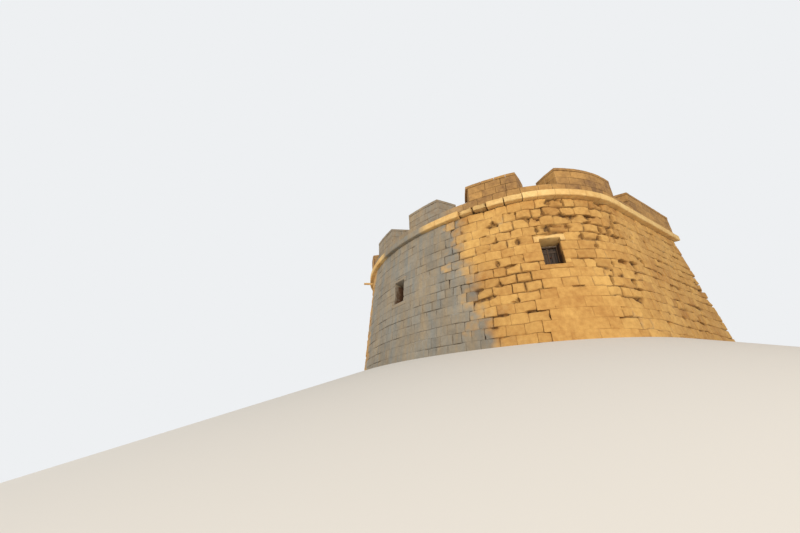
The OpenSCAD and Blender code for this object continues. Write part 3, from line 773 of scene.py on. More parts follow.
def weathered_timber(name, light, dark, grain_mm, roughness):
    """Sawn pine that has stood in sea air: raised grain along each board, dark knots and silvered ridges."""
    material, tree = new_material(name)
    where = add(tree, "ShaderNodeTexCoord")["Object"]
    tone = add(tree, "ShaderNodeAttribute", attribute_name="tone")["Fac"]
    drawn = add(tree, "ShaderNodeMapping",
                {"Vector": where, "Scale": (1000 / grain_mm, 1000 / grain_mm, 1 / 0.35)})[0]
    fibre = add(tree, "ShaderNodeTexNoise",
                {"Vector": drawn, "Scale": 1.0, "Detail": 4.0, "Distortion": 0.4})["Fac"]
    spread = add(tree, "ShaderNodeMath", {0: tone, 1: 0.22, 2: fibre}, operation="MULTIPLY_ADD")[0]
    share = add(tree, "ShaderNodeMapRange", {"Value": spread, "From Min": 0.35, "From Max": 0.75})[0]
    colour = add(tree, "ShaderNodeMix", {FACTOR: share, FIRST: dark, SECOND: light}, data_type="RGBA")[MIXED]
    surface(tree, colour, fibre, 0.003, roughness)
    return material


def rusted_iron(look):
    """Wrought iron, hammered and rusted through: flaking orange-brown scale over dark metal."""
    material, tree = new_material("rusted_wrought_iron")
    where = add(tree, "ShaderNodeTexCoord")["Object"]
    scale = add(tree, "ShaderNodeTexNoise", {"Vector": where, "Scale": 1 / 0.03, "Detail": 5.0})["Fac"]
    share = add(tree, "ShaderNodeMapRange", {"Value": scale, "From Min": 0.4, "From Max": 0.62})[0]
    colour = add(tree, "ShaderNodeMix",
                 {FACTOR: share, FIRST: look.iron_dark, SECOND: look.iron_rust}, data_type="RGBA")[MIXED]
    surface(tree, colour, scale, 0.002, 0.78, 0.25)
    return material


# Courses and stones

# Heights between the courses
COURSES = (
    0, 0.40, 0.79, 1.17, 1.55, 1.93, 2.31, 2.68, 3.06, 3.44, WINDOW_HEAD, 4.20, 4.60, 5.02, 5.44, WALL_TOP,
)
# Middles of the embrasures on the right, along the cordon's edge
EMBRASURES = (3.467, 7.137, 11.888, 20.158)
# Long and short arm of a corner stone, which change sides from course to course
QUOIN_ARMS = (0.85, 0.45)
# The jamb stones stand just inside the cut opening
REVEAL_HALF = WINDOW_HALF - 0.02
# Toothed joint on the right shoulder: its place in even and odd courses, and its foot and top
TOOTHING = (9.95, 10.28, 1.5, 3.6)
# Courses within this of a window's sill or head meet its stones
BESIDE = 0.3
# The stone above each window's lintel is parted this far right of the middle
OFF_MIDDLE = 0.1
# How far stones stand back at most, for full wear, and how their tones spread, less so in the patch
SET_BACK = 0.05
TONES = 0.5
PATCH_TONES = 0.4


def laid(draw, marks, short, long, below):
    """Joints of a course between its fixed marks, each a stone's length on and clear of the joints below."""
    joints = [marks[0]]
    for end in marks[1:]:
        while end - joints[-1] > short + long:
            tries = joints[-1] + draw.uniform(short, long, 12)
            clear = np.min(np.abs(tries[:, None] - np.append(below, -99)[None]), axis=1)
            good = clear > BOND
            joints.append(tries[np.argmax(good)] if good.any() else tries[np.argmax(clear)])
        if end - joints[-1] > 1.15 * long:
            joints.append(joints[-1] + (end - joints[-1]) * draw.uniform(0.42, 0.58))
        joints.append(end)
    return joints


def stone(draw, s0, s1, z0, z1, lean0=0.0, lean1=0.0, depth=STONE_DEPTH):
    """One facing stone, as worn as its place on the wall."""
    s, z = (s0 + s1) / 2, (z0 + z1) / 2
    wear = float(wear_at(s, z))
    back = draw.uniform(0, SET_BACK) * wear * (RAGGED_BACK if RAGGED[0] < s < RAGGED[1] else 1)
    if within_area(s, z, STEP):
        back += STEP_BACK
    tone = float(np.clip(draw.normal(0, TONES), -1, 1)) * (PATCH_TONES if wear == WEAR["patch"] else 1)
    return s0, s1, z0, z1, lean0, lean1, depth, back, wear, tone


def wall_stones(look):
    """All facing stones between the ends of the two heels, course by course, round the windows."""
    draw = np.random.default_rng(SEED)
    rows, below = [], np.array([])
    for k, (z0, z1) in enumerate(zip(COURSES, COURSES[1:])):
        near, far = QUOIN_ARMS[k % 2], QUOIN_ARMS[1 - k % 2]
        marks = [-HEEL_END, -FLANK_END - near, -FLANK_END + far, FLANK_END - far, FLANK_END + near, HEEL_END]
        if TOOTHING[2] < z0 < TOOTHING[3]:
            marks.append(TOOTHING[k % 2])
        middle = (z0 + z1) / 2
        half = 0
        if WINDOW_SILL - BESIDE < middle < WINDOW_HEAD + BESIDE:
            half = REVEAL_HALF if WINDOW_SILL < z0 < z1 <= WINDOW_HEAD else WINDOW_STONE_HALF
            marks += [s + side * half for s in WINDOWS for side in (-1, 1)]
        marks.sort()
        joints = laid(draw, marks, look.stone_short, look.stone_long, below)
        below = np.array(joints)
        for s0, s1 in zip(joints, joints[1:]):
            s = (s0 + s1) / 2
            if half and min(abs(s - w) for w in WINDOWS) < half:
                continue
            lean0 = -half / radius_at(s0) if half and any(abs(s0 - w - half) < 1e-6 for w in WINDOWS) else 0.0
            lean1 = half / radius_at(s1) if half and any(abs(s1 - w + half) < 1e-6 for w in WINDOWS) else 0.0
            depth = JAMB_DEPTH if half == REVEAL_HALF and (lean0 or lean1) else STONE_DEPTH
            rows.append(stone(draw, s0, s1, z0, z1, lean0, lean1, depth))
    sill_course, head_course = COURSES[8], COURSES[11]
    for w in WINDOWS:
        lean = WINDOW_HALF / radius_at(w)
        wide, narrow = WINDOW_STONE_HALF, REVEAL_HALF
        outer = wide / radius_at(w)
        rows += [
            stone(draw, w - wide, w - narrow, WINDOW_SILL, sill_course, outer, lean, JAMB_DEPTH),
            stone(draw, w + narrow, w + wide, WINDOW_SILL, sill_course, -lean, -outer, JAMB_DEPTH),
            stone(draw, w - wide, w + OFF_MIDDLE, LINTEL_TOP, head_course, outer, 0.0),
            stone(draw, w + OFF_MIDDLE, w + wide, LINTEL_TOP, head_course, 0.0, -outer),
        ]
    return np.array(rows, STONE)


def gate_stones(look):
    """Facing stones of the recessed gate wall, round the door's surround."""
    draw = np.random.default_rng(SEED + 1)
    levels = [*np.linspace(0, DOOR_SILL, 5), *np.linspace(DOOR_SILL, SURROUND_TOP, 7)[1:],
              *np.linspace(SURROUND_TOP, WALL_TOP, 6)[1:]]
    rows, below = [], np.array([])
    for z0, z1 in zip(levels, levels[1:]):
        beside = DOOR_SILL <= (z0 + z1) / 2 <= SURROUND_TOP
        marks = [HEEL_END, GATE_END]
        if beside:
            marks = [HEEL_END, GATE_MIDDLE - SURROUND_HALF, GATE_MIDDLE + SURROUND_HALF, GATE_END]
        joints = laid(draw, marks, look.stone_short, look.stone_long, below)
        below = np.array(joints)
        rows += [stone(draw, s0, s1, z0, z1) for s0, s1 in zip(joints, joints[1:])
                 if not (beside and abs((s0 + s1) / 2 - GATE_MIDDLE) < SURROUND_HALF)]
    return np.array(rows, STONE)


def middles(rows):
    """Middles of stones or blocks along the wall."""
    first, last = rows.dtype.names[:2]
    return (rows[first] + rows[last]) / 2


def within(rows, low, high):
    """The stones or blocks whose middles lie between two distances round the wall."""
    middle = middles(rows)
    return rows[(middle >= low) & (middle < high)]


def behind(rows, edge):
    """The blocks whose middles lie past edge on either side, so at the rear."""
    middle = middles(rows)
    return rows[(middle >= edge) | (middle < -edge)]


def front_runs(edge):
    """The runs of wall in front of the rear corners, each from and to, with the flanks' ends at edge."""
    return {
        "front": (-FRONT_END, FRONT_END),
        "shoulder_right": (FRONT_END, SHOULDER_END),
        "shoulder_left": (-SHOULDER_END, -FRONT_END),
        "flank_right": (SHOULDER_END, edge),
        "flank_left": (-edge, -SHOULDER_END),
    }


# Outer faces of the wall: an arc's centre and radius, or a straight wall's start and turn
ARCS = {"front": (np.zeros(2), FRONT_RADIUS), "shoulder": (SHOULDER_CENTRE, SHOULDER_RADIUS)}
STRAIGHTS = {
    "flank": (FLANK_START, FLANK_NORMAL),
    "heel": (REAR_CORNER, HEEL_NORMAL),
    "gate": (GATE_START, math.pi),
}
# A node's point belongs to an outer face if it is this near
ON_FACE = 0.004


def backing(node, walls, material, inset):
    """The inner part of a wall: the node's own solid, its outer face drawn in behind the facing stones."""
    shape = bmesh.new()
    shape.from_mesh(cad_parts[node].data)
    bmesh.ops.remove_doubles(shape, verts=shape.verts, dist=1e-4)
    for vert in shape.verts:
        side = -1.0 if vert.co.x < 0 else 1.0
        spot = np.array([abs(vert.co.x), vert.co.y])
        normals = []
        for wall in walls:
            if wall in ARCS:
                centre, radius = ARCS[wall]
                away = spot - centre
                out, normal = np.linalg.norm(away) - radius, away / np.linalg.norm(away)
            else:
                start, turn = STRAIGHTS[wall]
                out, normal = (spot - start) @ outward(turn), outward(turn)
            if abs(out - face_out(vert.co.z)) < ON_FACE:
                normals.append(normal)
        if normals:
            step, *_ = np.linalg.lstsq(np.array(normals), np.full(len(normals), -inset), rcond=None)
            vert.co.x, vert.co.y = side * (spot[0] + step[0]), spot[1] + step[1]
    mesh = bpy.data.meshes.new("backing_" + node)
    shape.to_mesh(mesh)
    shape.free()
    mesh.materials.clear()
    mesh.materials.append(material)
    piece = bpy.data.objects.new("backing_" + node, mesh)
    bpy.context.scene.collection.objects.link(piece)
    settle(piece, "ashlar", node)


# Runs whose stones have the finer grid, as they show in the photograph's view or match those that do
FINE_RUNS = ("front", "shoulder_right", "shoulder_left", "flank_right")
# Where the facing and the blocks are parted from those at the rear, just past the corners
HEEL_START = FLANK_END + 0.3
REAR_START = FLANK_END + 0.05


class TOWER_OT_walls(Operator):
    """Facing stones of every wall, and the limewashed wall behind them"""

    bl_idname = "tower.walls"
    bl_label = "Walls"

    def execute(self, context):
        look = context.scene.tower_stone
        ashlar, lime = tooled_ashlar(look), lime_plaster(look)
        stones = wall_stones(look)
        runs = {run: within(stones, *ends) for run, ends in front_runs(HEEL_START).items()}
        runs |= {"heel_right": within(stones, HEEL_START, HEEL_END),
                 "heel_left": within(stones, -HEEL_END, -HEEL_START), "gate": gate_stones(look)}
        for name, run in runs.items():
            grid = FINE_GRID if name in FINE_RUNS else PLAIN_GRID
            settle(face_piece("facing_" + name, run, look, ashlar, grid), "ashlar")
        walls = {"wall_nose": ["front"], "gate_sill_wall": ["gate"], "gate_head_wall": ["gate"]}
        for side in ("left", "right"):
            walls |= {f"wall_bow_{side}": ["front"], f"wall_shoulder_{side}": ["shoulder"],
                      f"wall_flank_{side}": ["flank", "heel"], f"wall_heel_{side}": ["heel", "flank", "gate"],
                      f"gate_pier_{side}": ["gate", "heel"]}
        for node, faces in walls.items():
            backing(node, faces, lime, look.backing_inset)
        return {"FINISHED"}


# Cordon and parapet

# Grid lines near the ends of a cordon block, and the rounding of its arrises
CORDON_NEAR = (0, 0.014, 0.032, CORDON_ROUND)
CORDON_ARRIS = 0.016
PARAPET_ARRIS = 0.017
# The joint between the parapet's two leaves, and the thickness and overhang of its cap slabs
LEAF = -0.62
CAP = 0.14
CAP_OUT = 0.012
# The first cap slab past the bow embrasure stands this far out over it
OVERSAIL = 0.11
MERLON_COURSES = (SILL_TOP, SILL_TOP + 0.34, MERLON_TOP - CAP, MERLON_TOP)
BLOCK_TONES = 0.45
# A course has no joint at a corner that is nearer to its end than this
END_CLEAR = 0.3
# Usual wear of each kind of block
CORDON_WEAR, SILL_WEAR, MERLON_WEAR, CAP_WEAR = 0.55, 0.7, 0.75, 0.8
# Stretch of cordon with broken blocks: from along the wall, the end of its worst part, and to, and the wear
BROKEN_CORDON = (4.0, 4.95, 6.2)
BROKEN_WEAR = (6.0, 2.6)
# Stretch of cordon that is grey, with painted cool shade
CORDON_GREY = (-1.7, 1.9)


def cordon_profile(s, out, z):
    """Rounds the lower outer edge of the cordon to a quarter circle."""
    across = np.maximum(out + CORDON_ROUND, 0)
    down = np.maximum(WALL_TOP + CORDON_ROUND - z, 0)
    bent = (across > 0) & (down > 0)
    ease = np.where(bent, np.maximum(across, down) / np.maximum(np.hypot(across, down), 1e-9), 1)
    return (np.where(bent, across * ease - CORDON_ROUND, out),
            np.where(bent, WALL_TOP + CORDON_ROUND - down * ease, z))


def blocks_between(draw, marks, y, z, look, below, wear, leans=None):
    """One course of blocks between fixed marks, and its joints. An end at a cheek leans with it."""
    leans = leans or {}
    joints = laid(draw, marks, look.block_short, look.block_long, below)
    rows = [(x0, x1, *y, *z, leans.get(x0, 0.0), leans.get(x1, 0.0), wear * draw.uniform(0.7, 1.3),
             float(np.clip(draw.normal(0, BLOCK_TONES), -1, 1))) for x0, x1 in zip(joints, joints[1:])]
    return rows, np.array(joints)


def corner_marks(start, end, near, far):
    """Fixed joints of a course from start to end: clear of the sharp corners, and at the blunt ones."""
    marks = [-FLANK_END - near, -FLANK_END + far, FLANK_END - far, FLANK_END + near, HEEL_END, GATE_END]
    return [start, *(mark for mark in marks if start + END_CLEAR < mark < end - END_CLEAR), end]


def cheek(s, side):
    """Where an embrasure at s cuts the parapet's outer face on one side, and its move per metre outwards."""
    radius = radius_at(s)
    inner_half = MOUTH_HALF + CHEEK_SPLAY * (PARAPET_IN - PARAPET_OUT)
    outer = radius * math.asin(MOUTH_HALF / (radius + PARAPET_OUT))
    inner = radius * math.asin(inner_half / (radius + PARAPET_IN))
    return s + side * outer, side * (outer - inner) / (PARAPET_OUT - PARAPET_IN)


def merlon_blocks(look):
    """Blocks of all merlons: two leaves under cap slabs that run through, with splayed ends."""
    draw = np.random.default_rng(SEED + 3)
    gaps = sorted({0.0, *EMBRASURES, *(-s for s in EMBRASURES)})
    rows = []
    for first, last in zip(gaps, gaps[1:] + [gaps[0] + ROUND]):
        start, start_lean = cheek((first + HEEL_END) % ROUND - HEEL_END, 1)
        end, end_lean = cheek((last + HEEL_END) % ROUND - HEEL_END, -1)
        end += ROUND if last > GATE_END else 0
        leans = {start: start_lean, end: end_lean}
        below = {0: np.array([]), 1: np.array([])}
        for k, z in enumerate(zip(MERLON_COURSES, MERLON_COURSES[1:])):
            marks = corner_marks(start, end, *(QUOIN_ARMS if k % 2 else QUOIN_ARMS[::-1]))
            if z[1] == MERLON_TOP:
                y = (PARAPET_IN, PARAPET_OUT + CAP_OUT)
                cap, _ = blocks_between(draw, marks, y, z, look, below[0], CAP_WEAR, leans)
                if first == EMBRASURES[0]:
                    cap[0] = (cap[0][0] - OVERSAIL, *cap[0][1:])
                rows += cap
                continue
            for leaf, y in enumerate(((LEAF, PARAPET_OUT), (PARAPET_IN, LEAF))):
                course, below[leaf] = blocks_between(draw, marks, y, z, look, below[leaf], MERLON_WEAR, leans)
                rows += course
    return np.array(rows, BLOCK)


def parapet_grey(s, z):
    """Painted cool shade on the parapet: strong over the nose, and partly so everywhere as painted shade on its
    faces.
    """
    return np.clip(0.28 + 0.6 * greyness(s, np.minimum(z, GREY_Z[-1])), 0, 1)


class TOWER_OT_cordon(Operator):
    """The projecting moulded course under the parapet"""

    bl_idname = "tower.cordon"
    bl_label = "Cordon"

    def execute(self, context):
        look = context.scene.tower_stone
        draw = np.random.default_rng(SEED + 2)
        marks = corner_marks(-HEEL_END, GATE_END, 0.5, 0.5)
        y, z = (PARAPET_IN, 0.0), (WALL_TOP, CORDON_TOP)
        rows, _ = blocks_between(draw, marks, y, z, look, np.array([]), CORDON_WEAR)
        blocks = np.array(rows, BLOCK)
        middle = middles(blocks)
        for start, end, wear in zip(BROKEN_CORDON, BROKEN_CORDON[1:], BROKEN_WEAR):
            blocks["wear"][(middle > start) & (middle < end)] = wear
        material = dressed_stone(look)
        runs = {run: within(blocks, *ends) for run, ends in front_runs(REAR_START).items()}
        for run, part in (runs | {"rear": behind(blocks, REAR_START)}).items():
            piece = block_piece("cordon_blocks_" + run, part, bend, material, CORDON_ARRIS, near=CORDON_NEAR,
                                shape=cordon_profile, grey=cordon_grey)
            settle(piece, "dressed_stone", "cordon_" + run)
        return {"FINISHED"}


def cordon_grey(s, z):
    """The cordon takes the painted cool shade only over the middle of the nose."""
    return fade(CORDON_GREY[1] - s, SMOOTH_FADE) * fade(s - CORDON_GREY[0], SMOOTH_FADE)


class TOWER_OT_parapet(Operator):
    """The low wall of the parapet and the merlons on it, with a gun embrasure between each two"""

    bl_idname = "tower.parapet"
    bl_label = "Parapet"

    def execute(self, context):
        look = context.scene.tower_stone
        draw = np.random.default_rng(SEED + 4)
        material = parapet_stone(look)
        rows = []
        for near, far, y in ((*QUOIN_ARMS, (LEAF, PARAPET_OUT)), (*QUOIN_ARMS[::-1], (PARAPET_IN, LEAF))):
            marks = corner_marks(-HEEL_END, GATE_END, near, far)
            z = (CORDON_TOP, SILL_TOP)
            rows += blocks_between(draw, marks, y, z, look, np.array([]), SILL_WEAR)[0]
        sills, merlons = np.array(rows, BLOCK), merlon_blocks(look)
        bow, shoulder, flank = EMBRASURES[:3]
        runs = {
            "parapet_shoulder": (sills, FRONT_END, SHOULDER_END),
            "parapet_flank": (sills, SHOULDER_END, REAR_START),
            "merlon_nose": (merlons, 0, bow),
            "merlon_bow": (merlons, bow, shoulder),
            "merlon_shoulder": (merlons, shoulder, flank),
            "merlon_flank": (merlons, flank, REAR_START),
        }
        parts = {run + "_right": within(blocks, low, high) for run, (blocks, low, high) in runs.items()}
        parts |= {run + "_left": within(blocks, -high, -low) for run, (blocks, low, high) in runs.items()}
        parts |= {"parapet_rear": behind(sills, REAR_START), "rear_merlons": behind(merlons, REAR_START),
                  "parapet_front": within(sills, -FRONT_END, FRONT_END)}
        for node, blocks in parts.items():
            piece = block_piece("blocks_" + node, blocks, bend, material, PARAPET_ARRIS,
                                look.parapet_roughness, grey=parapet_grey)
            settle(piece, "parapet_stone", node)
        return {"FINISHED"}


# Openings


def opening_place(centre, radius, turn):
    """Matrix of an opening: x to the right along the wall, y inwards from the cordon's edge, z up."""
    (ox, oy), (lx, ly) = outward(turn), onward(turn)
    return Matrix(((lx, -ox, 0, centre[0] + radius * ox), (ly, -oy, 0, centre[1] + radius * oy),
                   (0, 0, 1, 0), (0, 0, 0, 1)))


WINDOW_PLACES = {
    "nose": opening_place((0, 0), FRONT_RADIUS, 0),
    "right": opening_place(SHOULDER_CENTRE, SHOULDER_RADIUS, WINDOW_TURN),
    "left": opening_place(SHOULDER_CENTRE * (-1, 1), SHOULDER_RADIUS, -WINDOW_TURN),
}
GATE_PLACE = opening_place((0, GATE_START[1]), 0, math.pi)
# Lintels and sills: grid lines near their ends and between them, arrises, and how far they stand proud
LINTEL_NEAR = (0, 0.009, 0.022, 0.165, 0.195)
LINTEL_GRID = (9, 3, 2)
LINTEL_ARRIS = 0.022
LINTEL_PROUD = 0.014
FLUSH = -0.004
SOFFIT_RISE = 0.13
BEARING = 0.02
# Painted shade on the lintels and sills inside a window's recess
RECESS_STONE_SHADE = 0.3 * REVEAL_SHADE
# Window frames, the bar in the middle of each, and the shutters behind them
FRAME_DEPTH = 0.08
FRAME_BACK = REVEAL_BACK - FRAME_DEPTH
FRAME_WIDTH = 0.06
BAR_HALF = 0.02
BAR_DEPTH = 0.035
SHUTTER_THICKNESS = 0.035
SHUTTER_LAP = 0.09
SHUTTER_GAP = 0.008
# Ledges across the shutters: width, how far they are let in and stand out, and the feet of the two
LEDGE_WIDTH = 0.09
LEDGE_IN = 0.002
LEDGE_OUT = 0.024
LEDGE_FEET = (WINDOW_SILL + 0.17, WINDOW_HEAD - 0.26)
# Shutter knob: right of the middle, inwards of the boards' face and above the sill
KNOB_PLACE = (0.07, -0.02, 0.5)
# Door, its surround and ironwork
DOOR_BACK = -0.602
DOOR_THICKNESS = 0.07
DOOR_FRONT = DOOR_BACK + DOOR_THICKNESS
DOOR_GAP = 0.007
DOOR_EASE = 0.006
JAMB_STONES = 5
SURROUND_ARRIS = 0.02
SURROUND_PROUD = 0.04
STRAP_FEET = (DOOR_SILL + 0.3, DOOR_SILL + 0.97, DOOR_SILL + 1.64)
STRAP_WIDTH = 0.06
STRAP_SHORT = 0.12
STRAP_IN = 0.006
STRAP_OUT = 0.008
STUD_MARGIN = 0.1
DOOR_KNOB_ASIDE = DOOR_HALF - 0.14
DOOR_KNOB_HEIGHT = DOOR_SILL + 1.12
DOOR_KNOB_SIZE = 1.5


def into(place):
    """The function that puts points, given to the right, outwards and up, into an opening."""
    turn = np.array(place)[:3]

    def put(x, out, z):
        spot = np.stack(np.broadcast_arrays(x, -out, z, 1.0), axis=-1)
        return spot @ turn.T

    return put


def front_to_face(proud, rise=0.0):
    """A shape that stretches a block's outer face, drawn at 0, to stand proud of the battered wall.

    The soffit of a window's lintel rises towards the face.
    """
    def shaped(x, out, z):
        depth = (out - REVEAL_BACK) / -REVEAL_BACK
        soffit = np.clip((LINTEL_TOP - z) / (LINTEL_TOP - WINDOW_HEAD), 0, 1) * (z > WINDOW_HEAD - 0.05)
        soffit = soffit * np.clip((WINDOW_HALF + 0.015 - np.abs(x)) / 0.03, 0, 1)
        return (REVEAL_BACK + depth * (face_out(z) + proud - REVEAL_BACK),
                z + rise * soffit * np.clip(depth, 0, 1))
    return shaped


def nose_grey(x, z):
    """The stones of the nose's window take the same painted cool shade as the wall round them."""
    return 0.9


def box_rows(boxes, wear=0.7, seed=0):
    """Blocks from plain boxes, each low and high along, outwards and up."""
    draw = np.random.default_rng(SEED + seed)
    return np.array([(*box, 0, 0, wear * draw.uniform(0.8, 1.2), float(np.clip(draw.normal(0, TONES), -1, 1)))
                     for box in boxes], BLOCK)


def new_tree(name, sizes):
    """An empty node tree for geometry with named inputs, each a kind of socket and its usual value."""
    tree = bpy.data.node_groups.new(name, "GeometryNodeTree")
    for label, (kind, value) in sizes.items():
        socket = tree.interface.new_socket(label, in_out="INPUT", socket_type="NodeSocket" + kind)
        if value is not None:
            socket.default_value = value
    tree.interface.new_socket("Made", in_out="OUTPUT", socket_type="NodeSocketGeometry")
    return tree, add(tree, "NodeGroupInput")


def end_tree(tree, made, material):
    """Ends a tree: the copies are made real, and take their material."""
    real = add(tree, "GeometryNodeRealizeInstances", {0: made})[0]
    coated = add(tree, "GeometryNodeSetMaterial", {0: real, "Material": material})[0]
    add(tree, "NodeGroupOutput", {0: coated})
    return tree


def grown(name, tree, sizes, base=None):
    """A plain mesh piece that a node tree makes with these sizes. The modifier is gone when it returns."""
    piece = bpy.data.objects.new(name, base or bpy.data.meshes.new(name))
    bpy.context.scene.collection.objects.link(piece)
    grow = piece.modifiers.new(name, "NODES")
    grow.node_group = tree
    for item in tree.interface.items_tree:
        if item.in_out == "INPUT" and item.name in sizes:
            grow[item.identifier] = sizes[item.name]
    seen = piece.evaluated_get(bpy.context.evaluated_depsgraph_get())
    mesh = bpy.data.meshes.new_from_object(seen)
    mesh.name = name
    piece.modifiers.remove(grow)
    piece.data = mesh
    return piece


def toned(tree, shapes, seed, domain):
    """Shapes with a tone of its own on each copy or face."""
    shade = add(tree, "FunctionNodeRandomValue", {2: -1.0, 3: 1.0, "Seed": seed}, data_type="FLOAT")[1]
    return add(tree, "GeometryNodeStoreNamedAttribute", {"Geometry": shapes, "Name": "tone", "Value": shade},
               data_type="FLOAT", domain=domain)[0]


def board_tree(material):
    """Boards side by side, each with eased arrises, its own tone and a slightly uneven top."""
    tree, given = new_tree("boards_side_by_side", {
        "Width": ("Float", 1.0), "Height": ("Float", 1.0), "Thickness": ("Float", 0.03), "Boards": ("Int", 6),
        "Gap": ("Float", 0.006), "Ease": ("Float", 0.004), "Seed": ("Int", 1)})
    pitch = add(tree, "ShaderNodeMath", {0: given["Width"], 1: given["Boards"]}, operation="DIVIDE")[0]
    wide = add(tree, "ShaderNodeMath", {0: pitch, 1: given["Gap"]}, operation="SUBTRACT")[0]
    outline = add(tree, "GeometryNodeCurvePrimitiveQuadrilateral",
                  {"Width": wide, "Height": given["Thickness"]}, mode="RECTANGLE")[0]
    outline = add(tree, "GeometryNodeFilletCurve",
                  {"Curve": outline, "Radius": given["Ease"], "Count": 2}, mode="POLY")[0]
    top = add(tree, "ShaderNodeCombineXYZ", {"Z": given["Height"]})[0]
    rise = add(tree, "GeometryNodeCurvePrimitiveLine", {"End": top})[0]
    rise = add(tree, "GeometryNodeResampleCurve", {"Curve": rise, "Count": 6})[0]
    board = add(tree, "GeometryNodeCurveToMesh",
                {"Curve": rise, "Profile Curve": outline, "Fill Caps": True})[0]
    first = add(tree, "ShaderNodeMath", {0: pitch, 1: 0.5, 2: 0.0}, operation="MULTIPLY_ADD")[0]
    edge = add(tree, "ShaderNodeMath", {0: given["Width"], 1: -0.5, 2: first}, operation="MULTIPLY_ADD")[0]
    start = add(tree, "ShaderNodeCombineXYZ", {"X": edge})[0]
    step = add(tree, "ShaderNodeCombineXYZ", {"X": pitch})[0]
    places = add(tree, "GeometryNodeMeshLine",
                 {"Count": given["Boards"], "Start Location": start, "Offset": step}, mode="OFFSET")[0]
    size = add(tree, "FunctionNodeRandomValue",
               {0: (0.97, 0.9, 0.992), 1: (1.0, 1.0, 1.0), "Seed": given["Seed"]},
               data_type="FLOAT_VECTOR")[0]
    boards = add(tree, "GeometryNodeInstanceOnPoints",
                 {"Points": places, "Instance": board, "Scale": size})[0]
    boards = toned(tree, boards, given["Seed"], "INSTANCE")
    return end_tree(tree, boards, material)


def stud_tree(material):
    """Round-headed iron studs in rows, on a face that looks along -Y."""
    tree, given = new_tree("rows_of_studs", {
        "Width": ("Float", 1.0), "Height": ("Float", 1.0), "Across": ("Int", 4), "Rows": ("Int", 3),
        "Radius": ("Float", 0.015)})
    grid = add(tree, "GeometryNodeMeshGrid", {"Size X": given["Width"], "Size Y": given["Height"],
                                              "Vertices X": given["Across"], "Vertices Y": given["Rows"]})[0]
    stood = add(tree, "GeometryNodeTransform", {"Geometry": grid, "Rotation": (math.pi / 2, 0, 0)})[0]
    head = add(tree, "GeometryNodeMeshIcoSphere", {"Radius": given["Radius"], "Subdivisions": 2})[0]
    studs = add(tree, "GeometryNodeInstanceOnPoints",
                {"Points": stood, "Instance": head, "Scale": (1.0, 0.55, 1.0)})[0]
    return end_tree(tree, studs, material)


def flag_tree(material):
    """Flagstones from flat outlines: each stands up on its own, with an eased top edge and its own height."""
    tree, given = new_tree("flags_from_outlines", {
        "Outlines": ("Geometry", None), "Thickness": ("Float", 0.04), "Unevenness": ("Float", 0.008),
        "Ease": ("Float", 0.008), "Seed": ("Int", 1)})
    more = add(tree, "FunctionNodeRandomValue", {2: 0.0, 3: given["Unevenness"], "Seed": given["Seed"]},
               data_type="FLOAT")[1]
    tall = add(tree, "ShaderNodeMath", {0: given["Thickness"], 1: more}, operation="SUBTRACT")[0]
    outlines = toned(tree, given["Outlines"], given["Seed"], "FACE")
    up = add(tree, "ShaderNodeCombineXYZ", {"Z": 1.0})[0]
    raised = add(tree, "GeometryNodeExtrudeMesh", {"Mesh": outlines, "Offset": up, "Offset Scale": tall},
                 mode="FACES")
    eased = add(tree, "GeometryNodeExtrudeMesh", {
        "Mesh": raised["Mesh"], "Selection": raised["Top"], "Offset": up, "Offset Scale": given["Ease"]},
        mode="FACES")
    topped = add(tree, "GeometryNodeScaleElements",
                 {"Geometry": eased["Mesh"], "Selection": eased["Top"], "Scale": 0.975}, domain="FACE")[0]
    under = add(tree, "GeometryNodeFlipFaces", {"Mesh": outlines})[0]
    both = add(tree, "GeometryNodeJoinGeometry", {0: [topped, under]})[0]
    closed = add(tree, "GeometryNodeMergeByDistance", {"Geometry": both, "Distance": 0.0005})[0]
    return end_tree(tree, closed, material)


def window_stones(side, put, dressed, ashlar):
    """Lintel and sill of a window. The nose's are flush, and take its wall's painted cool shade. Both darken
    inwards with painted shade of the recess.
    """
    at_nose = side == "nose"
    half, grey = WINDOW_STONE_HALF, nose_grey if at_nose else None
    across = (-half, half, REVEAL_BACK - BEARING, 0)
    lintel = box_rows([(*across, WINDOW_HEAD, LINTEL_TOP)], 1.2, len(side))
    material, proud = (ashlar, FLUSH) if at_nose else (dressed, LINTEL_PROUD)
    piece = block_piece("window_lintel_" + side, lintel, put, material, LINTEL_ARRIS, 0.014, LINTEL_GRID,
                        LINTEL_NEAR, front_to_face(proud, SOFFIT_RISE), grey, RECESS_STONE_SHADE)
    settle(piece, "dressed_stone", "window_stones")
    sill = box_rows([(*across, SILL_BOTTOM, WINDOW_SILL)], 1.0, len(side) + 1)
    piece = block_piece("window_sill_" + side, sill, put, ashlar, LINTEL_ARRIS, 0.012, LINTEL_GRID,
                        LINTEL_NEAR, front_to_face(FLUSH), grey, RECESS_STONE_SHADE)
    settle(piece, "dressed_stone", "window_stones")


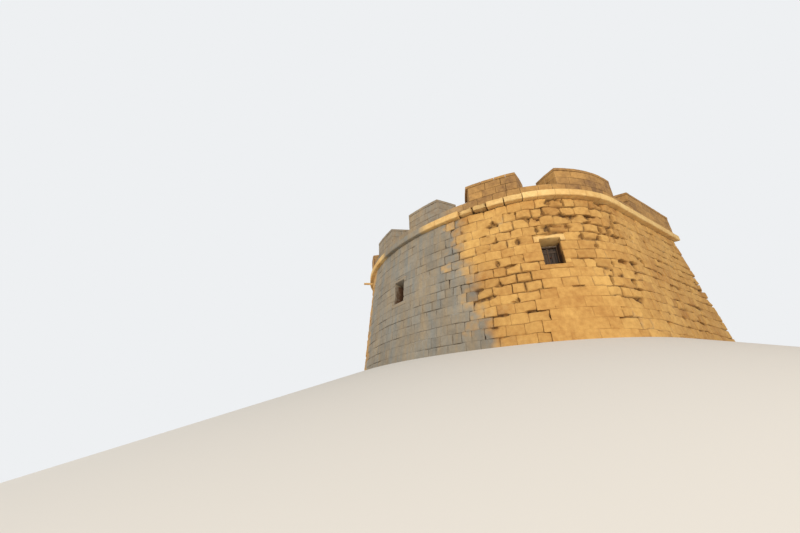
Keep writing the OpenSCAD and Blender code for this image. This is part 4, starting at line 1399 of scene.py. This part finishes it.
def window_joinery(side, place, joinery, frame_wood, boards, board_wood):
    """Frame of a window with its middle bar, and the closed shutter behind it with its ledges."""
    put, half, clear = into(place), WINDOW_HALF, WINDOW_HALF - FRAME_WIDTH
    back, front, foot, head = FRAME_BACK, REVEAL_BACK, WINDOW_SILL, WINDOW_HEAD
    bars = box_rows([
        (-half, -clear, back, front, foot, head),
        (clear, half, back, front, foot, head),
        (-clear, clear, back, front, foot, foot + FRAME_WIDTH),
        (-clear, clear, back, front, head - FRAME_WIDTH, head),
        (-BAR_HALF, BAR_HALF, back, back + BAR_DEPTH, foot + FRAME_WIDTH, head - FRAME_WIDTH),
    ], 0.5, 3)
    frames = block_piece("window_frame_" + side, bars, put, frame_wood, 0.006, 0.003)
    settle(frames, "timber", "window_frames")
    leaf = grown("window_shutter_" + side, boards, {
        "Width": 2 * (half + SHUTTER_LAP), "Height": head - foot + 2 * SHUTTER_LAP,
        "Thickness": SHUTTER_THICKNESS, "Boards": joinery.shutter_boards, "Gap": SHUTTER_GAP,
        "Seed": 7 + len(side)})
    leaf.data.transform(place @ Matrix.Translation((0, -back + SHUTTER_THICKNESS / 2, foot - SHUTTER_LAP)))
    settle(leaf, "timber", "window_shutters")
    ledges = box_rows([(-clear, clear, back - LEDGE_IN, back + LEDGE_OUT, z, z + LEDGE_WIDTH)
                       for z in LEDGE_FEET], 0.6, 4)
    settle(block_piece("shutter_ledges_" + side, ledges, put, board_wood, 0.005, 0.003), "timber")


class TOWER_OT_windows(Operator):
    """Lintels, sills, frames and closed shutters of the three windows"""

    bl_idname = "tower.windows"
    bl_label = "Windows"

    def execute(self, context):
        look, joinery = context.scene.tower_stone, context.scene.tower_joinery
        dressed, ashlar = dressed_stone(look), tooled_ashlar(look)
        frame_wood = weathered_timber("hewn_pine_frame", joinery.frame_light, joinery.frame_dark, 9, 0.8)
        board_wood = weathered_timber("sawn_pine_shutter", joinery.board_light, joinery.board_dark, 7, 0.75)
        boards, iron = board_tree(board_wood), rusted_iron(joinery)
        for side, place in WINDOW_PLACES.items():
            window_stones(side, into(place), dressed, ashlar)
            window_joinery(side, place, joinery, frame_wood, boards, board_wood)
            knob = turned_piece("shutter_knob_" + side, KNOB_PROFILE, iron)
            aside, out, height = KNOB_PLACE
            knob.data.transform(place @ Matrix.Translation((aside, -FRAME_BACK + out, WINDOW_SILL + height))
                                @ Matrix.Rotation(math.pi / 2, 4, "X"))
            settle(knob, "iron")
        return {"FINISHED"}


# Radius and height of each turned piece's outline, from the foot to the tip
KNOB_PROFILE = (
    (0.026, -0.01), (0.026, 0.006), (0.011, 0.012), (0.011, 0.026), (0.021, 0.034), (0.025, 0.044),
    (0.02, 0.056), (0.009, 0.062),
)
ROD_PROFILE = (
    (0.046, 0.0), (0.046, 0.014), (0.034, 0.024), (0.022, 0.03), (0.0195, 0.06), (0.019, 0.25),
    (0.0185, 0.44), (0.021, 0.452), (0.021, 0.468), (0.017, 0.476), (0.012, 0.5), (0.006, 0.518),
)


def turned_piece(name, profile, material, sides=14):
    """A closed piece turned round the z axis from its outline."""
    turns = np.arange(sides) * 2 * math.pi / sides
    points = [(r * math.cos(a), r * math.sin(a), z) for r, z in profile for a in turns]
    return mesh_piece(name, points, tube(len(profile), sides), material)


class TOWER_OT_gate(Operator):
    """The rear doorway: stone surround, plank door, strap hinges, studs and knob"""

    bl_idname = "tower.gate"
    bl_label = "Gate"

    def execute(self, context):
        look, joinery = context.scene.tower_stone, context.scene.tower_joinery
        put = into(GATE_PLACE)
        jamb, wide = DOOR_HALF, SURROUND_HALF
        levels = np.linspace(DOOR_SILL, DOOR_HEAD, JAMB_STONES + 1)
        boxes = [(x0, x1, DOOR_FRONT, 0, z0, z1) for x0, x1 in ((-wide, -jamb), (jamb, wide))
                 for z0, z1 in zip(levels, levels[1:])]
        boxes.append((-wide, wide, DOOR_FRONT, 0, DOOR_HEAD, SURROUND_TOP))
        stones = block_piece("surround_blocks", box_rows(boxes, 0.7, 5), put, dressed_stone(look),
                             SURROUND_ARRIS, 0.008, (5, 3, 3), shape=front_to_face(SURROUND_PROUD))
        settle(stones, "dressed_stone", "gate_surround")

        board_wood = weathered_timber("sawn_pine_door", joinery.board_light, joinery.board_dark, 7, 0.75)
        iron = rusted_iron(joinery)
        door = grown("door_boards", board_tree(board_wood), {
            "Width": 2 * wide, "Height": SURROUND_TOP - DOOR_SILL, "Thickness": DOOR_THICKNESS,
            "Boards": joinery.door_boards, "Gap": DOOR_GAP, "Ease": DOOR_EASE, "Seed": 21})
        door.data.transform(GATE_PLACE @ Matrix.Translation((0, -DOOR_BACK - DOOR_THICKNESS / 2, DOOR_SILL)))
        settle(door, "timber", "gate_door")

        straps = box_rows([(-jamb, jamb - STRAP_SHORT, DOOR_FRONT - STRAP_IN, DOOR_FRONT + STRAP_OUT,
                            z, z + STRAP_WIDTH) for z in STRAP_FEET], 0.5, 6)
        settle(block_piece("door_straps", straps, put, iron, 0.004, 0.002), "iron")
        lowest, *_, highest = STRAP_FEET
        studs = grown("door_studs", stud_tree(iron), {
            "Width": 2 * (jamb - STUD_MARGIN), "Height": highest - lowest, "Across": joinery.studs_across,
            "Rows": len(STRAP_FEET)})
        middle = (lowest + highest) / 2 + STRAP_WIDTH / 2
        studs.data.transform(GATE_PLACE @ Matrix.Translation((0, -DOOR_FRONT - STRAP_OUT, middle)))
        settle(studs, "iron")
        profile = [(r * DOOR_KNOB_SIZE, z * DOOR_KNOB_SIZE) for r, z in KNOB_PROFILE]
        knob = turned_piece("door_knob", profile, iron)
        knob.data.transform(GATE_PLACE @ Matrix.Translation((DOOR_KNOB_ASIDE, -DOOR_FRONT, DOOR_KNOB_HEIGHT))
                            @ Matrix.Rotation(math.pi / 2, 4, "X"))
        settle(knob, "iron")
        return {"FINISHED"}


# Deck, spout and rod

# Flat cuts that stand for each arc of the deck's edge, and how much the flags' lengths differ
ARC_CUTS = 33
FLAG_LENGTHS = (0.75, 1.25)
# Smaller flags than this, in square metres and in metres, are left out
LEAST_AREA = 0.02
LEAST_SIDE = 0.05
SPOUT_TURN = math.radians(-28)
SPOUT_TIP = 0.387
SPOUT_LOW, SPOUT_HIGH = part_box("waterspout")[0][2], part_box("waterspout")[1][2]
# Right half of the spout's outline, up its side and down into the groove: distance from the middle, height
SPOUT_HALF = 0.055
GROOVE_HALF = 0.0275
GROOVE_FOOT = SPOUT_LOW + 0.055
SPOUT_OUTLINE = (
    (SPOUT_HALF - 0.018, SPOUT_LOW), (SPOUT_HALF, SPOUT_LOW + 0.02), (SPOUT_HALF, SPOUT_HIGH),
    (GROOVE_HALF + 0.004, SPOUT_HIGH), (GROOVE_HALF, GROOVE_FOOT + 0.008), (GROOVE_HALF - 0.009, GROOVE_FOOT),
)
# Sections of the spout: from and to, and how many, inside the wall and outside it
SPOUT_RUNS = ((PARAPET_IN, -0.3, 4), (-0.1, SPOUT_TIP, 12))
# How much of the spout's section its tip has lost, and how much more in the hollows
SPOUT_TAPER = 0.05
SPOUT_WEAR = 0.08


def cut_outline(outline, normal, reach):
    """The part of a flat outline within reach along a normal."""
    kept = []
    for here, after in zip(outline, outline[1:] + outline[:1]):
        now, then = here @ normal - reach, after @ normal - reach
        if now <= 0:
            kept.append(here)
        if now * then < 0:
            kept.append(here + (after - here) * now / (now - then))
    return kept


def deck_limits(inside):
    """The straight cuts, each a normal and how far out, that shape the deck from the front to the flanks."""
    limits = [(outward(a), FRONT_RADIUS + inside) for a in np.linspace(-HALF_ANGLE, HALF_ANGLE, ARC_CUTS)]
    for a in np.linspace(HALF_ANGLE, FLANK_NORMAL, ARC_CUTS):
        reach = SHOULDER_CENTRE @ outward(a) + SHOULDER_RADIUS + inside
        limits += [(outward(a), reach), (outward(a) * (-1, 1), reach)]
    return limits


def big_enough(flag):
    """Whether what is left of a flag is worth laying."""
    if len(flag) < 3:
        return False
    area = abs(sum(p[0] * q[1] - p[1] * q[0] for p, q in zip(flag, flag[1:] + flag[:1]))) / 2
    return area > LEAST_AREA and np.min(np.ptp(np.array(flag), axis=0)) > LEAST_SIDE


def deck_outlines(length, width, gap):
    """Outlines of flags in broken rows across the deck, cut to the parapet's inner face."""
    draw = np.random.default_rng(SEED + 7)
    inside = PARAPET_IN - gap
    limits = deck_limits(inside)
    heel = REAR_CORNER @ outward(HEEL_NORMAL) + inside
    gate = (outward(math.pi), GATE_START[1] + inside)
    reach = SHOULDER_CENTRE[0] + SHOULDER_RADIUS
    outlines = []
    for y in np.arange(-(FRONT_RADIUS + inside), REAR_CORNER[1], width):
        x = -SHOULDER_CENTRE[0] - SHOULDER_RADIUS - draw.uniform(0, length)
        while x < reach:
            long = draw.uniform(*FLAG_LENGTHS) * length
            flag = [np.array(p) for p in ((x, y), (x + long - gap, y), (x + long - gap, y + width - gap),
                                          (x, y + width - gap))]
            middle = x + long / 2
            rear = gate
            if abs(middle) > GATE_HALF:
                rear = (outward(HEEL_NORMAL) * (-1 if middle < 0 else 1, 1), heel)
            for normal, limit in limits + [rear]:
                flag = cut_outline(flag, normal, limit) if len(flag) > 2 else flag
            if big_enough(flag):
                outlines.append(flag)
            x += long
    return outlines


class TOWER_OT_deck(Operator):
    """Flagstones of the gun deck, and the finishes of its bed, the vault, the chamber floor and the rubble"""

    bl_idname = "tower.deck"
    bl_label = "Deck and floors"

    def execute(self, context):
        look = context.scene.tower_stone
        outlines = deck_outlines(look.flag_length, look.flag_width, look.flag_gap)
        bed = bpy.data.meshes.new("deck_outlines")
        points = [(*p, DECK_TOP - look.flag_depth) for flag in outlines for p in flag]
        starts = np.cumsum([0] + [len(flag) for flag in outlines])
        bed.from_pydata(points, [], [tuple(range(a, b)) for a, b in zip(starts, starts[1:])])
        sizes = {"Thickness": look.flag_depth, "Seed": 11}
        settle(grown("deck_flags", flag_tree(flag_stone(look)), sizes, bed), "paving_stone")
        lime = lime_plaster(look)
        finishes = {"deck_paving": lime, "deck_vault": lime, "chamber_floor": laid_floor(look),
                    "rubble_core": rubble_fill(look)}
        for node, material in finishes.items():
            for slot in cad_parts[node].material_slots:
                slot.material = material
        return {"FINISHED"}


class TOWER_OT_spout(Operator):
    """The stone waterspout, with its groove, tapered and worn towards the tip"""

    bl_idname = "tower.spout"
    bl_label = "Waterspout"

    def execute(self, context):
        look = context.scene.tower_stone
        stations = np.concatenate([np.linspace(*run) for run in SPOUT_RUNS])
        mirrored = [(-x, z) for x, z in SPOUT_OUTLINE[::-1]]
        outline = mirrored[3:] + list(SPOUT_OUTLINE) + mirrored[:3]
        flat = np.array([(x, out, z) for out in stations for x, z in outline])
        middle = np.array([0, 0, (SPOUT_LOW + SPOUT_HIGH) / 2])
        free = np.clip(flat[:, 1:2] / SPOUT_TIP, 0, 1)
        worn = SPOUT_WEAR * grain(flat, *SPOUT_LUMPS)[:, None] * (0.3 + free)
        flat = flat + (middle - flat) * (1, 0, 1) * (SPOUT_TAPER * free + worn)
        put = into(opening_place((0, 0), FRONT_RADIUS, SPOUT_TURN))
        # The spout takes a little painted cool shade through its grey mark
        marks = {"grey": np.full(len(flat), 0.3), "sunk": free[:, 0] * 0.4}
        faces = tube(len(stations), len(outline))
        spout = mesh_piece("spout_stone", put(*flat.T), faces, dressed_stone(look), marks)
        shape = bmesh.new()
        shape.from_mesh(spout.data)
        bmesh.ops.recalc_face_normals(shape, faces=shape.faces)
        shape.to_mesh(spout.data)
        shape.free()
        settle(spout, "dressed_stone", "waterspout")
        return {"FINISHED"}


class TOWER_OT_rod(Operator):
    """The upright iron rod on the cordon, with its collar and blunt tip"""

    bl_idname = "tower.rod"
    bl_label = "Iron rod"

    def execute(self, context):
        low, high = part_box("iron_rod")
        rod = turned_piece("upright_rod", ROD_PROFILE, rusted_iron(context.scene.tower_joinery), 16)
        rod.data.transform(Matrix.Translation(((low[0] + high[0]) / 2, (low[1] + high[1]) / 2, low[2])))
        settle(rod, "iron", "iron_rod")
        return {"FINISHED"}


# Stage

# Camera of the photograph, fitted to it: place, and angles in radians
CAMERA_PLACE = (12.17, -19.02, -1.97)
CAMERA_HEADING = -0.9506
CAMERA_PITCH = 0.4226
CAMERA_ROLL = -0.0333
CAMERA_LENS = 15.035
SENSOR = 36.0
FARTHEST = 400
# Floor: distance beyond the wall's foot and height, and the middle that its rings spread from
FLOOR_FALL = ((-3.0, 0.0), (0.35, 0.0), (0.8, -0.06), (11.5, -3.35), (45.0, -14.0))
FLOOR_MIDDLE = (0, -4)
FLOOR_TURNS = 240
# Lamps: place, size and target
LAMPS = {
    "key": ((36.0, -32.0, 11.0), 14.0, (0, -4, 3)),
    "fill": ((-20.0, -30.0, 9.0), 14.0, (0, -4, 3)),
    "rear": ((-8.0, 26.0, 14.0), 12.0, (0, 0, 3)),
}


def lay_floor(colour):
    """A matt pale mound that falls away from the tower's foot all round."""
    turns = np.linspace(-HEEL_END, GATE_END, FLOOR_TURNS + 1)[:-1]
    foot = np.stack(ring(turns, face_out(0)), axis=-1)
    away = foot - FLOOR_MIDDLE
    away = away / np.linalg.norm(away, axis=1, keepdims=True)
    points = [(*(foot[k] + away[k] * beyond), z) for beyond, z in FLOOR_FALL for k in range(FLOOR_TURNS)]
    faces = [(a, d, c, b) for a, b, c, d in between_rings(len(FLOOR_FALL), FLOOR_TURNS)]
    material, tree = new_material("matt_pale_floor")
    shader = add(tree, "ShaderNodeBsdfPrincipled", {"Base Color": colour, "Roughness": 0.95})
    add(tree, "ShaderNodeOutputMaterial", {"Surface": shader[0]})
    floor = mesh_piece("floor", points, faces, material, sharp=180)


def surround(scene, stage):
    """Soft light from all round, and a pale background behind it."""
    scene.world = bpy.data.worlds.new("pale_surroundings")
    scene.world.use_nodes = True
    tree = scene.world.node_tree
    tree.nodes.clear()
    ray = add(tree, "ShaderNodeLightPath")
    seen = ray["Is Camera Ray"]
    for kind in ("Is Glossy Ray", "Is Transmission Ray"):
        seen = add(tree, "ShaderNodeMath", {0: seen, 1: ray[kind]}, operation="MAXIMUM")[0]
    soft = add(tree, "ShaderNodeBackground", {"Color": stage.sky, "Strength": stage.surroundings})[0]
    pale = add(tree, "ShaderNodeBackground", {"Color": stage.sky, "Strength": 1.0})[0]
    both = add(tree, "ShaderNodeMixShader", {0: seen, 1: soft, 2: pale})[0]
    add(tree, "ShaderNodeOutputWorld", {"Surface": both})


def hang_lamps(scene, stage):
    """Three large soft lamps, out of the camera's sight."""
    for name, (place, size, target) in LAMPS.items():
        light = bpy.data.lights.new(name, "AREA")
        light.energy, light.size, light.color = getattr(stage, name + "_power"), size, stage.lamp
        lamp = bpy.data.objects.new(name, light)
        lamp.location = place
        lamp.rotation_euler = (Vector(target) - Vector(place)).to_track_quat("-Z", "Y").to_euler()
        lamp.visible_camera = False
        scene.collection.objects.link(lamp)


def set_camera(scene):
    """The camera at the photograph's angle: turned to its heading, tipped up and rolled."""
    heading, pitch, roll = CAMERA_HEADING, CAMERA_PITCH, CAMERA_ROLL
    level = Vector((math.sin(heading), math.cos(heading), 0))
    right = Vector((math.cos(heading), -math.sin(heading), 0))
    up = Vector((0, 0, 1))
    forward = math.cos(pitch) * level + math.sin(pitch) * up
    over = -math.sin(pitch) * level + math.cos(pitch) * up
    turned = math.cos(roll) * right + math.sin(roll) * over
    over = -math.sin(roll) * right + math.cos(roll) * over
    lens = bpy.data.cameras.new("view")
    lens.sensor_fit, lens.sensor_width, lens.lens, lens.clip_end = "HORIZONTAL", SENSOR, CAMERA_LENS, FARTHEST
    scene.camera = bpy.data.objects.new("view", lens)
    turn = Matrix((turned, over, -forward)).transposed().to_4x4()
    scene.camera.matrix_world = Matrix.Translation(CAMERA_PLACE) @ turn
    scene.collection.objects.link(scene.camera)


class TOWER_OT_stage(Operator):
    """A pale mound of floor that falls away from the tower, soft lamps, pale surroundings and the camera"""

    bl_idname = "tower.stage"
    bl_label = "Stage"

    def execute(self, context):
        scene, stage = context.scene, context.scene.tower_stage
        lay_floor(stage.floor)
        surround(scene, stage)
        hang_lamps(scene, stage)
        set_camera(scene)
        scene.view_settings.view_transform = "Standard"
        return {"FINISHED"}


# Settings and panel


def colour(name, description, code):
    """A colour setting whose default is an sRGB hex value."""
    return FloatVectorProperty(name=name, description=description, subtype="COLOR", size=3, min=0, max=1,
                               default=linear(code))


def metres(name, description, value, low=0.0, high=2.0):
    """A length setting in metres."""
    return FloatProperty(name=name, description=description, default=value, min=low, max=high, unit="LENGTH")


def number(name, description, value, low=2, high=20):
    """A whole-number setting."""
    return IntProperty(name=name, description=description, default=value, min=low, max=high)


def power(name, description, value):
    """A lamp's power in watts."""
    return FloatProperty(name=name, description=description, default=value, min=0, unit="POWER")


class TowerStone(PropertyGroup):
    """Sizes and colours of the masonry"""

    stone_short: metres("Shortest stone", "Length of the shortest facing stones", 0.34)
    stone_long: metres("Longest stone", "Length of the longest facing stones", 0.76)
    block_short: metres("Shortest block", "Length of the shortest cordon and parapet blocks", 0.56)
    block_long: metres("Longest block", "Length of the longest cordon and parapet blocks", 0.76)
    joint_width: metres("Joint width", "How far a worn joint reaches into each stone", 0.024)
    joint_depth: metres("Joint depth", "How deep a worn joint is", 0.05)
    roughness: metres("Face relief", "Depth of the weathering on the facing stones", 0.036)
    parapet_roughness: metres("Parapet relief", "Depth of the weathering on the parapet's blocks", 0.016)
    backing_inset: metres("Backing inset", "How far the wall behind the facing starts inside its face", 0.23)
    flag_length: metres("Flag length", "Usual length of the deck's flagstones", 0.9)
    flag_width: metres("Flag width", "Width of the rows of flagstones", 0.55)
    flag_depth: metres("Flag depth", "Thickness of the flagstones", 0.03)
    flag_gap: metres("Flag gap", "Open joint between flagstones", 0.012)
    stone_light: colour("Ashlar, light", "Washed face of the facing stones", "#dcae62")
    stone_dark: colour("Ashlar, dark", "Sheltered or older face of the facing stones", "#b07d3e")
    dressed_light: colour("Dressed, light", "Washed face of the cordon and the openings", "#efcd8a")
    dressed_dark: colour("Dressed, dark", "Sheltered face of the cordon and the openings", "#d0a05a")
    # The parapet's darker colours are painted shade on its faces
    parapet_light: colour("Parapet, light", "Washed face of the parapet", "#c9974f")
    parapet_dark: colour("Parapet, dark", "Lichened face of the parapet", "#7d5a35")
    # The grey of the nose, its streaks and its grey mortar are painted cool shade on the same stone
    grey_warm: colour("Grey, warm", "Weathered grey of the nose", "#9c8b70")
    grey_cool: colour("Grey, cool", "Rain streaks on the grey face", "#86867f")
    mortar: colour("Mortar", "Fresh lime mortar in joints", "#d6c296")
    mortar_grey: colour("Mortar, grey", "Old lime mortar on the grey face", "#aeaa9e")
    # Dirt in deep joints, and painted shade in hollows and in the windows' reveals
    stain_and_shade: colour("Stain", "Dirt and shade in deep joints", "#4a3018")
    lime_light: colour("Limewash, light", "Clean limewash inside", "#d8cfbd")
    lime_dark: colour("Limewash, dark", "Worn limewash inside", "#b3a58b")
    flag_light: colour("Flag, light", "Rubbed flagstones", "#bfae8c")
    flag_dark: colour("Flag, dark", "Damp flagstones", "#8f8069")


class TowerJoinery(PropertyGroup):
    """Sizes and colours of the timber and iron"""

    shutter_boards: number("Shutter boards", "Boards in each shutter", 8)
    door_boards: number("Door boards", "Boards in the door", 9)
    studs_across: number("Studs", "Studs across each strap", 6)
    frame_light: colour("Frame, light", "Silvered ridges of the window frames", "#6d5236")
    frame_dark: colour("Frame, dark", "Grain of the window frames", "#3c2a1a")
    board_light: colour("Board, light", "Silvered ridges of the boards", "#54402b")
    board_dark: colour("Board, dark", "Grain of the boards", "#2a1d12")
    iron_dark: colour("Iron, dark", "Bare patches of the ironwork", "#2f2825")
    iron_rust: colour("Iron, rust", "Rust on the ironwork", "#7a4527")


class TowerStage(PropertyGroup):
    """Floor, lamps and surroundings"""

    floor: colour("Floor", "Matt pale floor", "#d6d2ca")
    sky: colour("Surroundings", "Pale surroundings", "#eef0f2")
    lamp: colour("Lamps", "Colour of the lamps", "#fff8f0")
    surroundings: FloatProperty(
        name="Soft light", description="Light from all round", default=0.5, min=0, max=3)
    key_power: power("Key lamp", "Soft lamp on the right", 13500)
    fill_power: power("Fill lamp", "Soft lamp on the left", 3200)
    rear_power: power("Rear lamp", "Soft lamp behind", 3800)


class TOWER_PT_panel(Panel):
    """The tower's pieces and settings"""

    bl_idname = "TOWER_PT_panel"
    bl_label = "Gun tower"
    bl_space_type = "VIEW_3D"
    bl_region_type = "UI"
    bl_category = "Tower"

    def draw(self, context):
        column = self.layout.column(align=True)
        for operator in OPERATORS:
            column.operator(operator.bl_idname)
        for group in (context.scene.tower_stone, context.scene.tower_joinery, context.scene.tower_stage):
            box = self.layout.box()
            for setting in group.__annotations__:
                box.prop(group, setting)


OPERATORS = (
    TOWER_OT_walls, TOWER_OT_cordon, TOWER_OT_parapet, TOWER_OT_windows, TOWER_OT_gate, TOWER_OT_deck,
    TOWER_OT_spout, TOWER_OT_rod, TOWER_OT_stage,
)
GROUPS = {"tower_stone": TowerStone, "tower_joinery": TowerJoinery, "tower_stage": TowerStage}


def register():
    for kind in (*GROUPS.values(), *OPERATORS, TOWER_PT_panel):
        bpy.utils.register_class(kind)
    for setting, group in GROUPS.items():
        setattr(bpy.types.Scene, setting, PointerProperty(type=group))


def unregister():
    for setting in GROUPS:
        delattr(bpy.types.Scene, setting)
    for kind in (TOWER_PT_panel, *reversed(OPERATORS), *GROUPS.values()):
        bpy.utils.unregister_class(kind)


def main():
    register()
    for operator in OPERATORS:
        section, action = operator.bl_idname.split(".")
        getattr(getattr(bpy.ops, section), action)()


if __name__ == "__main__":
    main()
